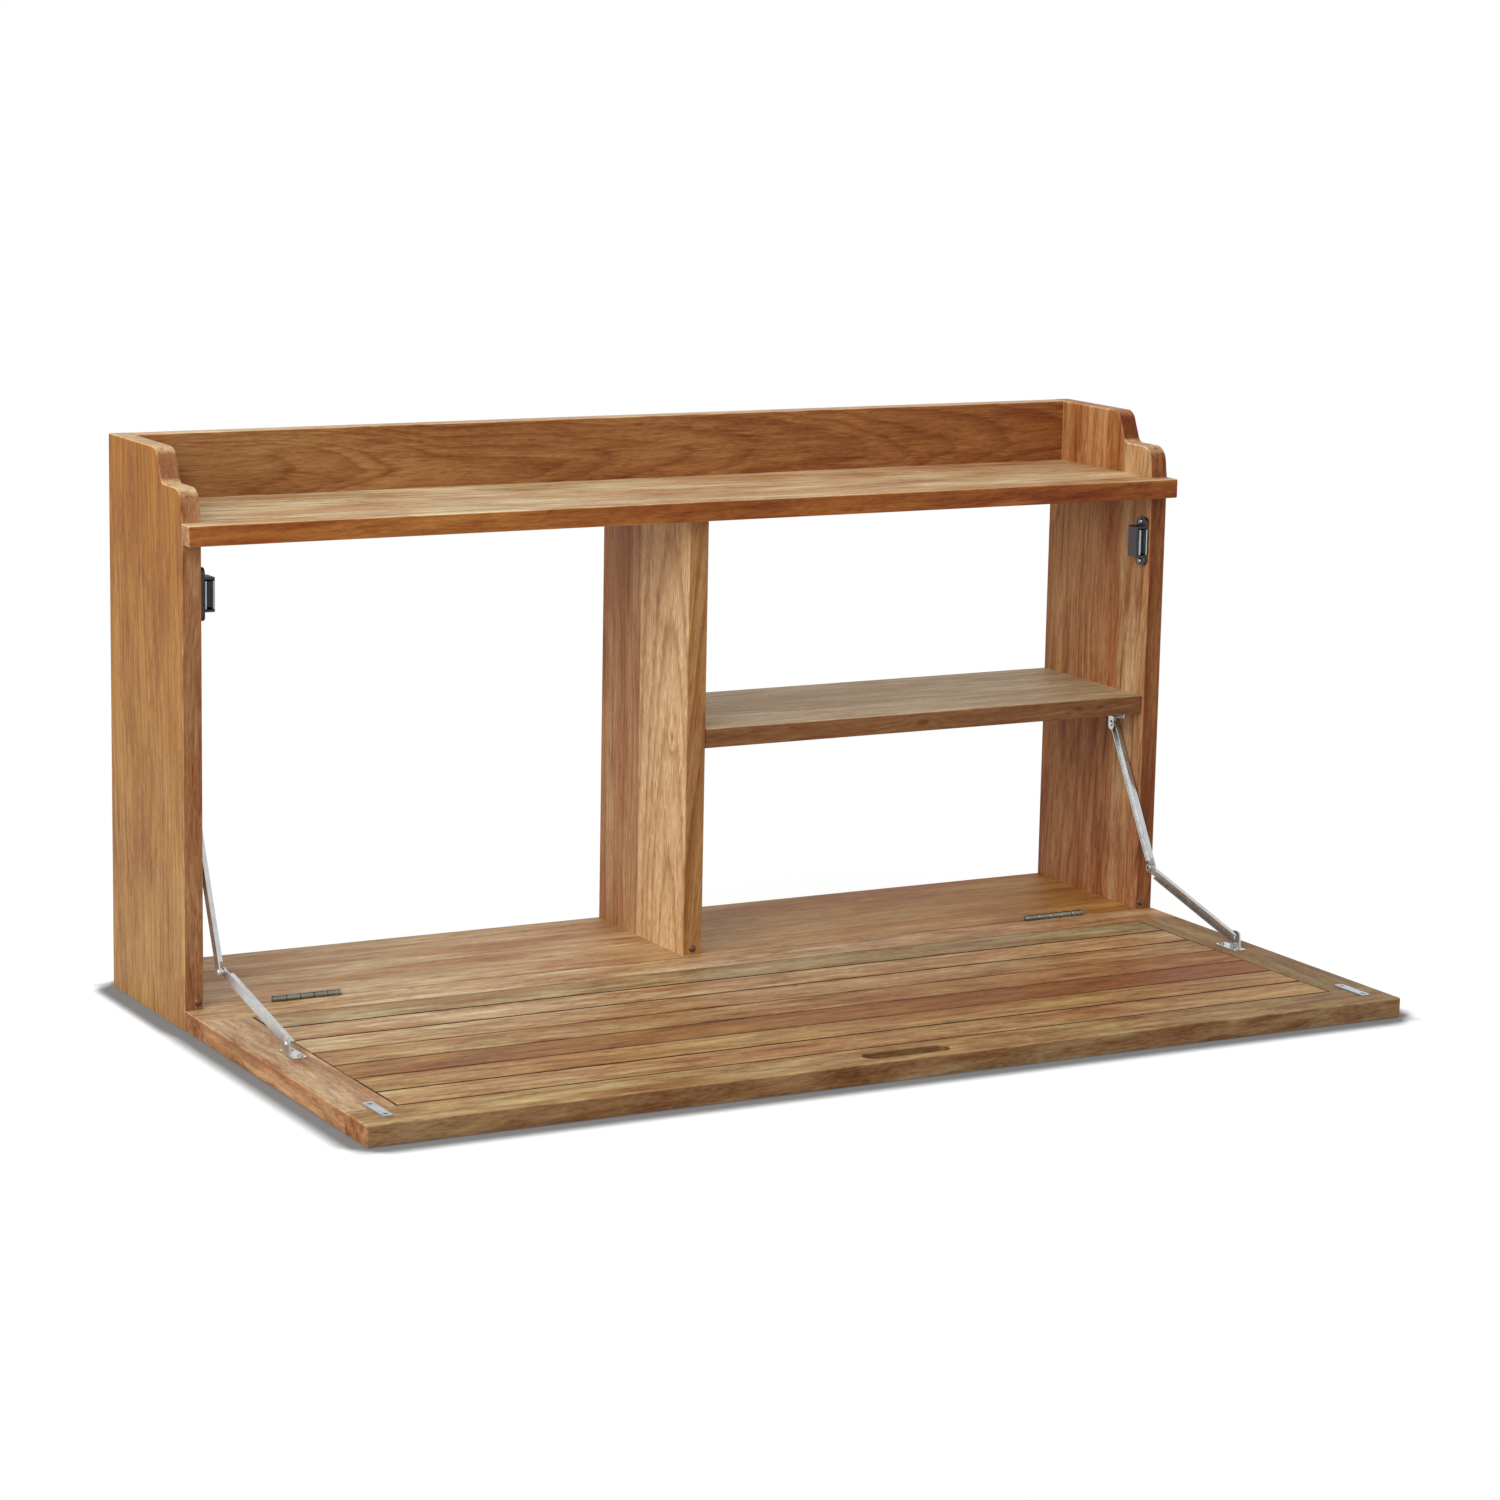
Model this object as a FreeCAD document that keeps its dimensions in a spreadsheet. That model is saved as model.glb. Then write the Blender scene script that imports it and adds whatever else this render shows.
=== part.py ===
# Fold down wall desk: an open case with a scrolled gallery and a slatted flap on folding stays.
# Millimetres. X right, Y to the wall, Z up. The origin is bottom centre of the wall side.
import FreeCAD
import Part
import Sketcher
import math
import os
from types import SimpleNamespace

SIZES = {
    # case boards
    "case_width": 1000.0,
    "case_depth": 177.0,
    "case_height": 498.0,
    "board": 18.0,
    "gallery_rise": 58.0,
    "nosing": 18.0,
    "ease": 1.5,
    # scroll of the two sides
    "lobe_height": 28.7,
    "lobe_lean": 5.0,
    "step_depth": 129.0,
    "crest_depth": 116.0,
    "lobe_round": 15.0,
    "cove_round": 9.0,
    "crest_round": 13.0,
    # divider and small shelf
    "divider_board": 20.0,
    "divider_offset": -4.0,
    "divider_setback": 4.0,
    "divider_joint": 79.0,
    "lower_bay": 192.5,
    "small_setback": 3.0,
    # dowels
    "dowel_radius": 4.0,
    "dowel_face": 10.0,
    "dowel_end": 20.0,
    # flap
    "flap_rail": 44.0,
    "flap_top_gap": 5.8,
    "slat_gap": 2.4,
    "slat_ease": 1.0,
    "first_joint": 0.3,
    "slat_end_gap": 1.0,
    "stile": 45.0,
    "tongue_length": 8.0,
    "tongue_board": 6.0,
    "flap_gap": 0.8,
    "grip_length": 84.0,
    "grip_width": 20.0,
    # butt hinges
    "hinge_inset": 113.0,
    "hinge_length": 63.5,
    "leaf_height": 15.0,
    "leaf_sheet": 1.5,
    "leaf_meet": 0.05,
    "barrel_radius": 3.3,
    "hinge_pin": 1.6,
    "pin_rise": 1.8,
    "knuckle_gap": 0.6,
    "knuckle_ease": 0.4,
    "pin_head": 0.8,
    "hinge_screw_reach": 18.0,
    # magnetic catches and their strike plates
    "catch_drop": 44.0,
    "catch_setback": 2.0,
    "catch_depth": 16.0,
    "catch_body": 30.0,
    "catch_reach": 13.0,
    "catch_flange": 46.0,
    "flange_sheet": 3.8,
    "flange_round": 5.0,
    "catch_screw_reach": 19.0,
    "cavity_height": 26.0,
    "cavity_depth": 13.0,
    "cavity_wall": 1.4,
    "cavity_start": 3.0,
    "pole_sheet": 1.0,
    "pole_height": 24.0,
    "magnet_height": 22.0,
    "magnet_depth": 10.0,
    "strike_length": 42.0,
    "strike_width": 9.0,
    "strike_sheet": 1.5,
    "strike_round": 2.0,
    "strike_screw_reach": 15.5,
    "strike_screw_length": 6.0,
    "strike_play": 0.3,
    # folding stays
    "stay_top_setback": 43.0,
    "stay_top_drop": 15.5,
    "left_stay_forward": 12.0,
    "left_stay_low": 2.0,
    "stay_foot_reach": 175.0,
    "stay_foot_rise": 10.0,
    "knee_slack": 1.085,
    "arm_width": 9.0,
    "arm_sheet": 1.2,
    "arm_channel": 4.2,
    "arm_stop": 8.0,
    "arm_tail": 5.0,
    "tongue_reach": 14.0,
    "tongue_radius": 3.9,
    "stay_play": 0.3,
    "bracket_sheet": 1.5,
    "bracket_width": 9.0,
    "bracket_top": 7.0,
    "ear_drop": 6.0,
    "wing_reach": 14.0,
    "wing_gap": 2.0,
    "wing_round": 3.0,
    "bracket_screw_reach": 9.5,
    "foot_width": 13.0,
    "foot_length": 33.0,
    "foot_screw_reach": 11.0,
    "foot_screw_inset": 8.5,
    "ear_half": 8.0,
    "ear_round": 4.0,
    "rivet_radius": 2.0,
    "rivet_head": 3.0,
    "rivet_cap": 1.0,
    "stud_cap": 0.8,
    "eyelet_shank": 2.6,
    "eyelet_ring": 4.0,
    "eyelet_bore": 1.6,
    "eyelet_lip": 1.2,
    # bumpers
    "bumper_radius": 3.5,
    "bumper_height": 1.9,
    "bumper_rise": 6.0,
    "bumper_inset": 5.0,
    # keyhole hangers
    "hanger_drop": 118.0,
    "hanger_width": 14.0,
    "hanger_length": 60.0,
    "hanger_sheet": 2.0,
    "keyhole_drop": 6.0,
    "keyhole_rise": 8.0,
    "keyhole_entry": 4.5,
    "keyhole_slot": 2.25,
    "hanger_relief": 9.0,
    "relief_half": 5.5,
    "hanger_screw_reach": 24.0,
    # screws
    "screw_shank": 1.5,
    "screw_head": 2.7,
    "screw_length": 14.0,
    "screw_dome": 1.6,
    # fits
    "fit": 0.1,
    "run": 0.05,
    "seat": 0.2,
}
SLATS = 7
KNUCKLES = 5
LEFT = -1
RIGHT = 1
HANDS = ((LEFT, "left"), (RIGHT, "right"))

doc = FreeCAD.newDocument("fold_down_wall_desk")
sheet = doc.addObject("Spreadsheet::Sheet", "Sizes")


class Size:
    """A number together with the sheet expression that drives it."""

    def __init__(self, value, text):
        self.value = value
        self.text = text

    def __add__(self, other):
        other = as_size(other)
        return Size(self.value + other.value, "(%s + %s)" % (self.text, other.text))

    def __sub__(self, other):
        other = as_size(other)
        return Size(self.value - other.value, "(%s - %s)" % (self.text, other.text))

    def __mul__(self, factor):
        factor = as_size(factor)
        return Size(self.value * factor.value, "(%s * %s)" % (self.text, factor.text))

    def __truediv__(self, factor):
        factor = as_size(factor)
        return Size(self.value / factor.value, "(%s / %s)" % (self.text, factor.text))

    def __neg__(self):
        return self * -1


def root(size):
    """Square root of a size."""
    return Size(math.sqrt(size.value), "sqrt(%s)" % size.text)


def as_size(number):
    """A plain number as a size, a size as it is."""
    if isinstance(number, Size):
        return number
    return Size(float(number), "(%r)" % float(number))


for row, (alias, number) in enumerate(SIZES.items(), start=1):
    sheet.set("A%d" % row, alias.replace("_", " "))
    sheet.set("B%d" % row, "%r" % number)
    sheet.setAlias("B%d" % row, alias)
doc.recompute()
d = SimpleNamespace(**{alias: Size(number, "Sizes." + alias) for alias, number in SIZES.items()})


# Drawing helpers
PLANES = {"X": ("YZ_Plane", 1), "Y": ("XZ_Plane", -1), "Z": ("XY_Plane", 1)}


def bind(item, path, size):
    """Drive one property from the sheet."""
    item.setExpression(path, as_size(size).text)


def new_body(label):
    body = doc.addObject("PartDesign::Body", label)
    body.Label = label
    return body


def place(body, x=0, y=0, z=0):
    """Move a finished body to its seat."""
    for letter, size in (("x", x), ("y", y), ("z", z)):
        bind(body, "Placement.Base." + letter, size)


def vector(x, y, z=0):
    return FreeCAD.Vector(as_size(x).value, as_size(y).value, as_size(z).value)


def rectangle(x0, y0, x1, y1):
    return [(x0, y0), (x1, y0), (x1, y1), (x0, y1)]


def pin_point(sketch, geometry, point, x, y):
    """Hold a sketch point at a place worked out from the sheet."""
    for kind, size in (("DistanceX", as_size(x)), ("DistanceY", as_size(y))):
        rule = Sketcher.Constraint(kind, -1, 1, geometry, point, size.value)
        number = sketch.addConstraint(rule)
        bind(sketch, "Constraints[%d]" % number, size)


def pin_radius(sketch, geometry, radius):
    number = sketch.addConstraint(Sketcher.Constraint("Radius", geometry, as_size(radius).value))
    bind(sketch, "Constraints[%d]" % number, radius)


def draw_polygon(sketch, corners):
    first = sketch.GeometryCount
    count = len(corners)
    points = [vector(x, y) for x, y in corners]
    for n in range(count):
        sketch.addGeometry(Part.LineSegment(points[n], points[(n + 1) % count]))
    for n in range(count):
        joined = Sketcher.Constraint("Coincident", first + n, 2, first + (n + 1) % count, 1)
        sketch.addConstraint(joined)
    for n, (x, y) in enumerate(corners):
        pin_point(sketch, first + n, 1, x, y)


def draw_circle(sketch, x, y, radius):
    circle = Part.Circle(vector(x, y), vector(0, 0, 1), as_size(radius).value)
    number = sketch.addGeometry(circle)
    pin_radius(sketch, number, radius)
    pin_point(sketch, number, 3, x, y)


def draw_slot(sketch, start, end, middle, radius):
    """Round ended slot along the sketch's first axis."""
    start, end, middle, radius = [as_size(size) for size in (start, end, middle, radius)]
    first = sketch.GeometryCount
    near = Part.Circle(vector(start, middle), vector(0, 0, 1), radius.value)
    far = Part.Circle(vector(end, middle), vector(0, 0, 1), radius.value)
    low = middle - radius
    high = middle + radius
    sketch.addGeometry(Part.ArcOfCircle(near, math.pi / 2, 3 * math.pi / 2))
    sketch.addGeometry(Part.LineSegment(vector(start, low), vector(end, low)))
    sketch.addGeometry(Part.ArcOfCircle(far, -math.pi / 2, math.pi / 2))
    sketch.addGeometry(Part.LineSegment(vector(end, high), vector(start, high)))
    for n in range(4):
        smooth = Sketcher.Constraint("Tangent", first + n, 2, first + (n + 1) % 4, 1)
        sketch.addConstraint(smooth)
    for arc, x in ((first, start), (first + 2, end)):
        pin_point(sketch, arc, 3, x, middle)
        pin_radius(sketch, arc, radius)


def draw(sketch, outline):
    """Polygons are lists of corners, circles have three sizes and slots have four."""
    if isinstance(outline, list):
        draw_polygon(sketch, outline)
    elif len(outline) == 3:
        draw_circle(sketch, *outline)
    else:
        draw_slot(sketch, *outline)


def extrude(kind, body, axis, level, toward, length, outlines):
    """Pad or pocket outlines drawn across an axis at a level, toward + or - along that axis."""
    role, sign = PLANES[axis]
    plane = [item for item in body.Origin.OriginFeatures if item.Role == role][0]
    number = len(body.Group)
    sketch = body.newObject("Sketcher::SketchObject", "%s_outline_%d" % (body.Name, number))
    sketch.AttachmentSupport = [(plane, "")]
    sketch.MapMode = "FlatFace"
    bind(sketch, "AttachmentOffset.Base.z", as_size(level) * sign)
    for outline in outlines:
        draw(sketch, outline)
    before = body.Shape.Volume if body.Tip else 0.0
    feature = body.newObject("PartDesign::" + kind, "%s_%s_%d" % (body.Name, kind.lower(), number))
    feature.Profile = sketch
    bind(feature, "Length", length)
    with_normal = toward * sign > 0
    feature.Reversed = with_normal if kind == "Pocket" else not with_normal
    doc.recompute()
    change = body.Shape.Volume - before
    if (change > 0) == (kind == "Pocket") or abs(change) < 1e-6:
        raise RuntimeError("%s left %s unchanged" % (feature.Name, body.Label))
    return feature


def pad(body, axis, level, toward, length, outlines):
    return extrude("Pad", body, axis, level, toward, length, outlines)


def pocket(body, axis, level, toward, length, outlines):
    return extrude("Pocket", body, axis, level, toward, length, outlines)


def on(**places):
    """Test that picks the edges whose ends all lie at the given places."""
    wanted = {letter: as_size(size).value for letter, size in places.items()}

    def pick(edge):
        return all(
            abs(getattr(vertex, letter.upper()) - value) < 1e-4
            for vertex in edge.Vertexes
            for letter, value in wanted.items()
        )

    return pick


def dress(kind, body, path, size, tests):
    """Fillet or chamfer the edges of the newest feature that pass any of the tests."""
    tip = body.Tip
    names = []
    for number, edge in enumerate(tip.Shape.Edges, start=1):
        if any(test(edge) for test in tests):
            names.append("Edge%d" % number)
    if not names:
        raise RuntimeError("no edges found on " + body.Label)
    feature = body.newObject("PartDesign::" + kind, "%s_%s_%d" % (body.Name, kind, len(body.Group)))
    feature.Base = (tip, names)
    bind(feature, path, size)
    doc.recompute()


def round_edges(body, radius, *tests):
    dress("Fillet", body, "Radius", radius, tests)


def sink_holes(body, axis, level, toward, length, centres):
    """Screw holes through a plate with a bevel for the flat head on the first face."""
    bore = d.screw_shank + d.fit
    pocket(body, axis, level, toward, length, [(x, y, bore) for x, y in centres])
    letter = axis.lower()
    flat = on(**{letter: level})

    def rim(edge):
        return flat(edge) and hasattr(edge.Curve, "Radius") and abs(edge.Curve.Radius - bore.value) < 1e-4

    dress("Chamfer", body, "Size", d.screw_head - d.screw_shank, [rim])


def group(label, solids):
    """Like pieces that share one name, as separate solids."""
    feature = doc.addObject("Part::Feature", label)
    feature.Label = label
    feature.Shape = Part.makeCompound(solids)
    feature.Placement = FreeCAD.Placement()
    return feature


def turned(profile, origin, direction):
    """Solid of revolution from radius and height pairs, standing on origin along direction."""
    corners = [vector(radius, 0, height) for radius, height in profile]
    face = Part.Face(Part.makePolygon(corners + corners[:1]))
    solid = face.revolve(vector(0, 0, 0), vector(0, 0, 1), 360)
    solid.Placement = FreeCAD.Placement(origin, FreeCAD.Rotation(vector(0, 0, 1), direction))
    return solid


def flat_screw(origin, direction, length):
    """Wood screw with its flat head level with origin."""
    shank = d.screw_shank
    sink = d.screw_head - shank
    profile = [(0, 0), (d.screw_head, 0), (shank, sink), (shank, length - d.screw_head), (0, length)]
    return turned(profile, origin, direction)


def dome_screw(origin, direction):
    """Wood screw whose domed head stands on origin."""
    shank = d.screw_shank
    head = d.screw_head
    dome = -d.screw_dome
    tip = d.screw_length - head
    profile = [(0, dome), (head * 0.6, dome), (head, dome * 0.45), (head, 0)]
    profile += [(shank, 0), (shank, tip), (0, d.screw_length)]
    return turned(profile, origin, direction)


# Main levels and lines
half_width = d.case_width / 2
half_inside = half_width - d.board
shelf_height = d.case_height - d.gallery_rise
shelf_under = shelf_height - d.board
lobe_top = shelf_height + d.lobe_height
small_under = d.board + d.lower_bay
small_depth = d.case_depth - d.small_setback
divider_left = d.divider_offset - d.divider_board / 2
divider_right = d.divider_offset + d.divider_board / 2
divider_depth = d.case_depth - d.divider_setback
divider_height = shelf_under - d.board
front_board = divider_depth - d.divider_joint
pin_y = -(d.case_depth + d.flap_gap / 2)
pin_z = d.board + d.pin_rise
flap_depth = shelf_under - d.flap_top_gap - pin_z - d.flap_gap / 2
slat_opening = flap_depth - d.flap_rail * 2
slat_pitch = (slat_opening - d.first_joint) / SLATS
flap_back = -(d.case_depth + d.flap_gap)
rail_front = flap_back - d.flap_rail
front_joint = rail_front - slat_opening
flap_front = front_joint - d.flap_rail
stile_inner = half_width - d.stile
hinge_offset = half_width - d.hinge_inset
catch_height = shelf_under - d.catch_drop
face_gap = d.flap_gap / 2 + d.pin_rise
strike_y = pin_y - (catch_height - pin_z)
pole_near = d.cavity_start + d.seat
pole_far = d.catch_reach - d.cavity_wall - d.seat
strike_x = half_inside - (pole_near + pole_far) / 2
catch_front = -(d.case_depth - d.catch_setback)
stay_top_y = d.stay_top_setback - d.case_depth
stay_top_height = small_under - d.stay_top_drop
foot_y = -(d.case_depth + d.stay_foot_reach)
foot_height = d.board + d.stay_foot_rise
stay_run = stay_top_y - foot_y
stay_drop = stay_top_height - foot_height
stay_arm = root(stay_run * stay_run + stay_drop * stay_drop) * d.knee_slack / 2
stay_tops = {
    LEFT: (stay_top_y - d.left_stay_forward, stay_top_height - d.left_stay_low),
    RIGHT: (stay_top_y, stay_top_height),
}
web_under = d.bracket_top - d.bracket_sheet
wing_top = d.stay_top_drop - d.wing_gap
wing_middle = (web_under + wing_top) / 2
hanger_height = d.case_height - d.hanger_drop
upper_arm_x = half_inside - d.bracket_sheet - d.stay_play
ear_gap = d.bracket_sheet + d.stay_play * 2 + d.arm_channel
lower_arm_x = upper_arm_x - d.arm_channel - d.stay_play
flap_ear_x = lower_arm_x + d.stay_play + d.bracket_sheet
foot_screw_x = flap_ear_x - d.foot_screw_inset
pilot = d.screw_shank + d.run
pilot_depth = d.screw_length + d.seat
dowel_hole = d.dowel_radius + d.fit
face_hole = d.dowel_face + d.seat
end_hole = d.dowel_end + d.seat

# Dowel places, shared by the boards and the dowels themselves
row_depths = [-d.case_depth * share for share in (0.2, 0.5, 0.8)]
gallery_rows = [d.gallery_rise * share for share in (0.3, 0.7)]
back_row = -d.divider_joint / 2
front_rows = [-(d.divider_joint + front_board * share) for share in (0.28, 0.72)]
small_rows = [back_row] + front_rows
back_rows = [-d.divider_joint * share for share in (0.3, 0.7)]
first_row = stile_inner + d.tongue_length + d.dowel_radius * 1.4
stile_rows = [first_row, half_width - d.dowel_radius * 2.8]


# Scrolled sides
def make_side(hand, name):
    body = new_body(name + "_side")
    inner = 0 if hand == RIGHT else d.board
    outline = [
        (0, 0),
        (-d.case_depth, 0),
        (-d.case_depth, shelf_height),
        (d.lobe_lean - d.case_depth, lobe_top),
        (-d.step_depth, lobe_top),
        (-d.crest_depth, d.case_height),
        (0, d.case_height),
    ]
    pad(body, "X", 0, 1, d.board, [outline])
    round_edges(body, d.lobe_round, on(y=d.lobe_lean - d.case_depth, z=lobe_top))
    round_edges(body, d.cove_round, on(y=-d.step_depth, z=lobe_top))
    round_edges(body, d.crest_round, on(y=-d.crest_depth, z=d.case_height))

    def rim(edge):
        faces = on(x=0)(edge) or on(x=d.board)(edge)
        return faces and not on(y=0)(edge) and not on(z=0)(edge)

    round_edges(body, d.ease, rim)
    dowels = [(y, d.board / 2) for y in row_depths]
    dowels += [(y, shelf_height - d.board / 2) for y in row_depths]
    dowels += [(-d.board / 2, shelf_height + z) for z in gallery_rows]
    if hand == RIGHT:
        dowels += [(y, small_under + d.board / 2) for y in small_rows]
    pocket(body, "X", inner, hand, face_hole, [(y, z, dowel_hole) for y, z in dowels])
    catch_y = catch_front + d.catch_depth / 2
    stay_y, stay_z = stay_tops[hand]
    screws = [
        (catch_y, catch_height - d.catch_screw_reach),
        (catch_y, catch_height + d.catch_screw_reach),
        (stay_y - d.bracket_screw_reach, stay_z + wing_middle),
        (stay_y + d.bracket_screw_reach, stay_z + wing_middle),
    ]
    pocket(body, "X", inner, hand, pilot_depth - d.bracket_sheet, [(y, z, pilot) for y, z in screws])
    middle = d.board / 2
    half = d.hanger_width / 2 + d.fit
    reach = d.hanger_length / 2 + d.fit
    recess = rectangle(middle - half, hanger_height - reach, middle + half, hanger_height + reach)
    pocket(body, "Y", 0, -1, d.hanger_sheet + d.run, [recess])
    low = hanger_height - d.keyhole_drop - d.relief_half
    high = hanger_height + d.keyhole_rise + d.relief_half
    relief = rectangle(middle - d.relief_half, low, middle + d.relief_half, high)
    pocket(body, "Y", 0, -1, d.hanger_sheet + d.hanger_relief, [relief])
    heights = (hanger_height - d.hanger_screw_reach, hanger_height + d.hanger_screw_reach)
    pocket(body, "Y", 0, -1, pilot_depth, [(middle, z, pilot) for z in heights])
    place(body, x=half_inside if hand == RIGHT else -half_width)


for hand, name in HANDS:
    make_side(hand, name)


# Boards of the case
def end_holes(body, left, right, centres):
    """Dowel holes in both ends of a board that runs along X."""
    pocket(body, "X", left, 1, end_hole, [(y, z, dowel_hole) for y, z in centres])
    pocket(body, "X", right, -1, end_hole, [(y, z, dowel_hole) for y, z in centres])


def hinge_seats(body, edge, toward):
    """Leaf mortises, barrel hollows and screw holes in the edge that carries the hinges."""
    half = d.hinge_length / 2 + d.seat
    low = pin_z - d.leaf_height - d.seat
    sink = d.leaf_sheet + d.leaf_meet - d.flap_gap / 2 + d.run
    screw_z = pin_z - (d.leaf_height + d.barrel_radius + d.knuckle_gap) / 2
    mortises = []
    pilots = []
    for side in (LEFT, RIGHT):
        centre = hinge_offset * side
        mortises.append(rectangle(centre - half, low, centre + half, d.board + d.pin_rise))
        pilots += [(centre + d.hinge_screw_reach * step, screw_z, pilot) for step in (-1, 1)]
    pocket(body, "Y", edge, toward, sink, mortises)
    hollow = d.barrel_radius + d.seat
    for side in (LEFT, RIGHT):
        start = hinge_offset * side - half
        pocket(body, "X", start, 1, half * 2, [(pin_y, pin_z, hollow)])
    pocket(body, "Y", edge, toward, pilot_depth, pilots)


base = new_body("base_board")
pad(base, "Z", 0, 1, d.board, [rectangle(-half_inside, -d.case_depth, half_inside, 0)])
round_edges(base, d.ease, on(y=-d.case_depth, z=d.board), on(y=-d.case_depth, z=0))
end_holes(base, -half_inside, half_inside, [(y, d.board / 2) for y in row_depths])
divider_rows = back_rows + front_rows
pocket(base, "Z", d.board, -1, face_hole, [(d.divider_offset, y, dowel_hole) for y in divider_rows])
hinge_seats(base, -d.case_depth, 1)

shelf = new_body("top_shelf")
nose = -(d.case_depth + d.nosing)
shelf_outline = [
    (-half_inside, 0),
    (-half_inside, -d.case_depth),
    (-half_width, -d.case_depth),
    (-half_width, nose),
    (half_width, nose),
    (half_width, -d.case_depth),
    (half_inside, -d.case_depth),
    (half_inside, 0),
]
pad(shelf, "Z", 0, 1, d.board, [shelf_outline])
round_edges(shelf, d.ease, on(y=nose), on(x=half_width, z=0), on(x=half_width, z=d.board),
            on(x=-half_width, z=0), on(x=-half_width, z=d.board))
end_holes(shelf, -half_inside, half_inside, [(y, d.board / 2) for y in row_depths])
pocket(shelf, "Z", 0, 1, face_hole, [(d.divider_offset, y, dowel_hole) for y in divider_rows])
place(shelf, z=shelf_under)

gallery = new_body("gallery_rail")
pad(gallery, "Y", 0, -1, d.board, [rectangle(-half_inside, 0, half_inside, d.gallery_rise)])
round_edges(gallery, d.ease, on(y=-d.board, z=d.gallery_rise), on(y=0, z=d.gallery_rise))
end_holes(gallery, -half_inside, half_inside, [(-d.board / 2, z) for z in gallery_rows])
place(gallery, z=shelf_height)


def divider_part(label, back, front, rows, cross_rows, eased):
    body = new_body(label)
    pad(body, "X", 0, 1, d.divider_board, [rectangle(-front, 0, -back, divider_height)])
    round_edges(body, d.ease, on(x=0, y=-eased), on(x=d.divider_board, y=-eased))
    middle = d.divider_board / 2
    holes = [(middle, y, dowel_hole) for y in rows]
    pocket(body, "Z", 0, 1, end_hole, holes)
    pocket(body, "Z", divider_height, -1, end_hole, holes)
    cross_z = d.lower_bay + d.board / 2
    cross = [(y, cross_z, dowel_hole) for y in cross_rows]
    pocket(body, "X", d.divider_board, -1, face_hole, cross)
    place(body, x=divider_left, z=d.board)


divider_part("divider_back_board", as_size(0), d.divider_joint, back_rows, [back_row], as_size(0))
divider_part("divider_front_board", d.divider_joint, divider_depth, front_rows, front_rows, divider_depth)

small = new_body("small_shelf")
pad(small, "Z", 0, 1, d.board, [rectangle(divider_right, -small_depth, half_inside, 0)])
round_edges(small, d.ease, on(y=-small_depth, z=0), on(y=-small_depth, z=d.board))
end_holes(small, divider_right, half_inside, [(y, d.board / 2) for y in small_rows])
place(small, z=small_under)


# Flap frame and slats
def flap_rail(label, back, front, inner):
    body = new_body(label)
    pad(body, "Z", 0, 1, d.board, [rectangle(-half_width, front, half_width, back)])
    outer = back if inner is front else front
    tests = []
    for z in (0, d.board):
        tests += [on(y=outer, z=z), on(x=half_width, z=z), on(x=-half_width, z=z)]
    tests += [on(x=half_width, y=outer), on(x=-half_width, y=outer)]
    round_edges(body, d.ease, *tests)
    toward = 1 if inner is front else -1
    holes = [(x * side, d.board / 2, dowel_hole) for x in stile_rows for side in (LEFT, RIGHT)]
    pocket(body, "Y", inner, toward, face_hole, holes)
    return body


back_rail = flap_rail("flap_back_rail", flap_back, rail_front, rail_front)
hinge_seats(back_rail, flap_back, -1)
front_rail = flap_rail("flap_front_rail", front_joint, flap_front, front_joint)
grip_y = (front_joint + flap_front) / 2
grip_radius = d.grip_width / 2
grip_end = d.grip_length / 2 - grip_radius
pocket(front_rail, "Z", d.board, -1, d.board, [(-grip_end, grip_end, grip_y, grip_radius)])


def grip_rim(edge):
    """Picks the two rims of the grip slot."""
    slack = grip_radius.value + 0.01
    inside = all(abs(vertex.Y - grip_y.value) <= slack for vertex in edge.Vertexes)
    return inside and (on(z=0)(edge) or on(z=d.board)(edge))


round_edges(front_rail, d.ease, grip_rim)

tongue_low = (d.board - d.tongue_board) / 2
tongue_high = (d.board + d.tongue_board) / 2
strike_screws_y = [strike_y + d.strike_screw_reach, strike_y - d.strike_screw_reach]
strike_pilot = d.strike_screw_length - d.strike_sheet + d.seat
foot_screws_y = [foot_y + d.foot_screw_reach, foot_y - d.foot_screw_reach]


def strike_pilots(hand, back, front):
    """Strike screw holes that fall in the strip between back and front."""
    return [(strike_x * hand, y, pilot) for y in strike_screws_y if front.value < y.value < back.value]


def make_stile(hand, name):
    body = new_body("flap_%s_stile" % name)
    inner = stile_inner * hand
    outer = half_width * hand
    left, right = (inner, outer) if hand == RIGHT else (outer, inner)
    pad(body, "Z", 0, 1, d.board, [rectangle(left, front_joint, right, rail_front)])
    round_edges(body, d.ease, on(x=outer, z=0), on(x=outer, z=d.board))
    round_edges(body, d.slat_ease, on(x=inner, z=0), on(x=inner, z=d.board))
    groove = inner + (d.tongue_length + d.seat) * hand
    channel = rectangle(inner, tongue_low - d.fit, groove, tongue_high + d.fit)
    pocket(body, "Y", rail_front, -1, slat_opening, [channel])
    holes = [(x * hand, d.board / 2, dowel_hole) for x in stile_rows]
    pocket(body, "Y", rail_front, -1, end_hole, holes)
    pocket(body, "Y", front_joint, 1, end_hole, holes)
    pocket(body, "Z", d.board, -1, strike_pilot, strike_pilots(hand, rail_front, front_joint))
    feet = [(foot_screw_x * hand, y, pilot) for y in foot_screws_y]
    pocket(body, "Z", d.board, -1, pilot_depth - d.bracket_sheet, feet)


for hand, name in HANDS:
    make_stile(hand, name)
rail_pilots = []
for hand, name in HANDS:
    rail_pilots += strike_pilots(hand, front_joint, flap_front)
pocket(front_rail, "Z", d.board, -1, strike_pilot, rail_pilots)

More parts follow.
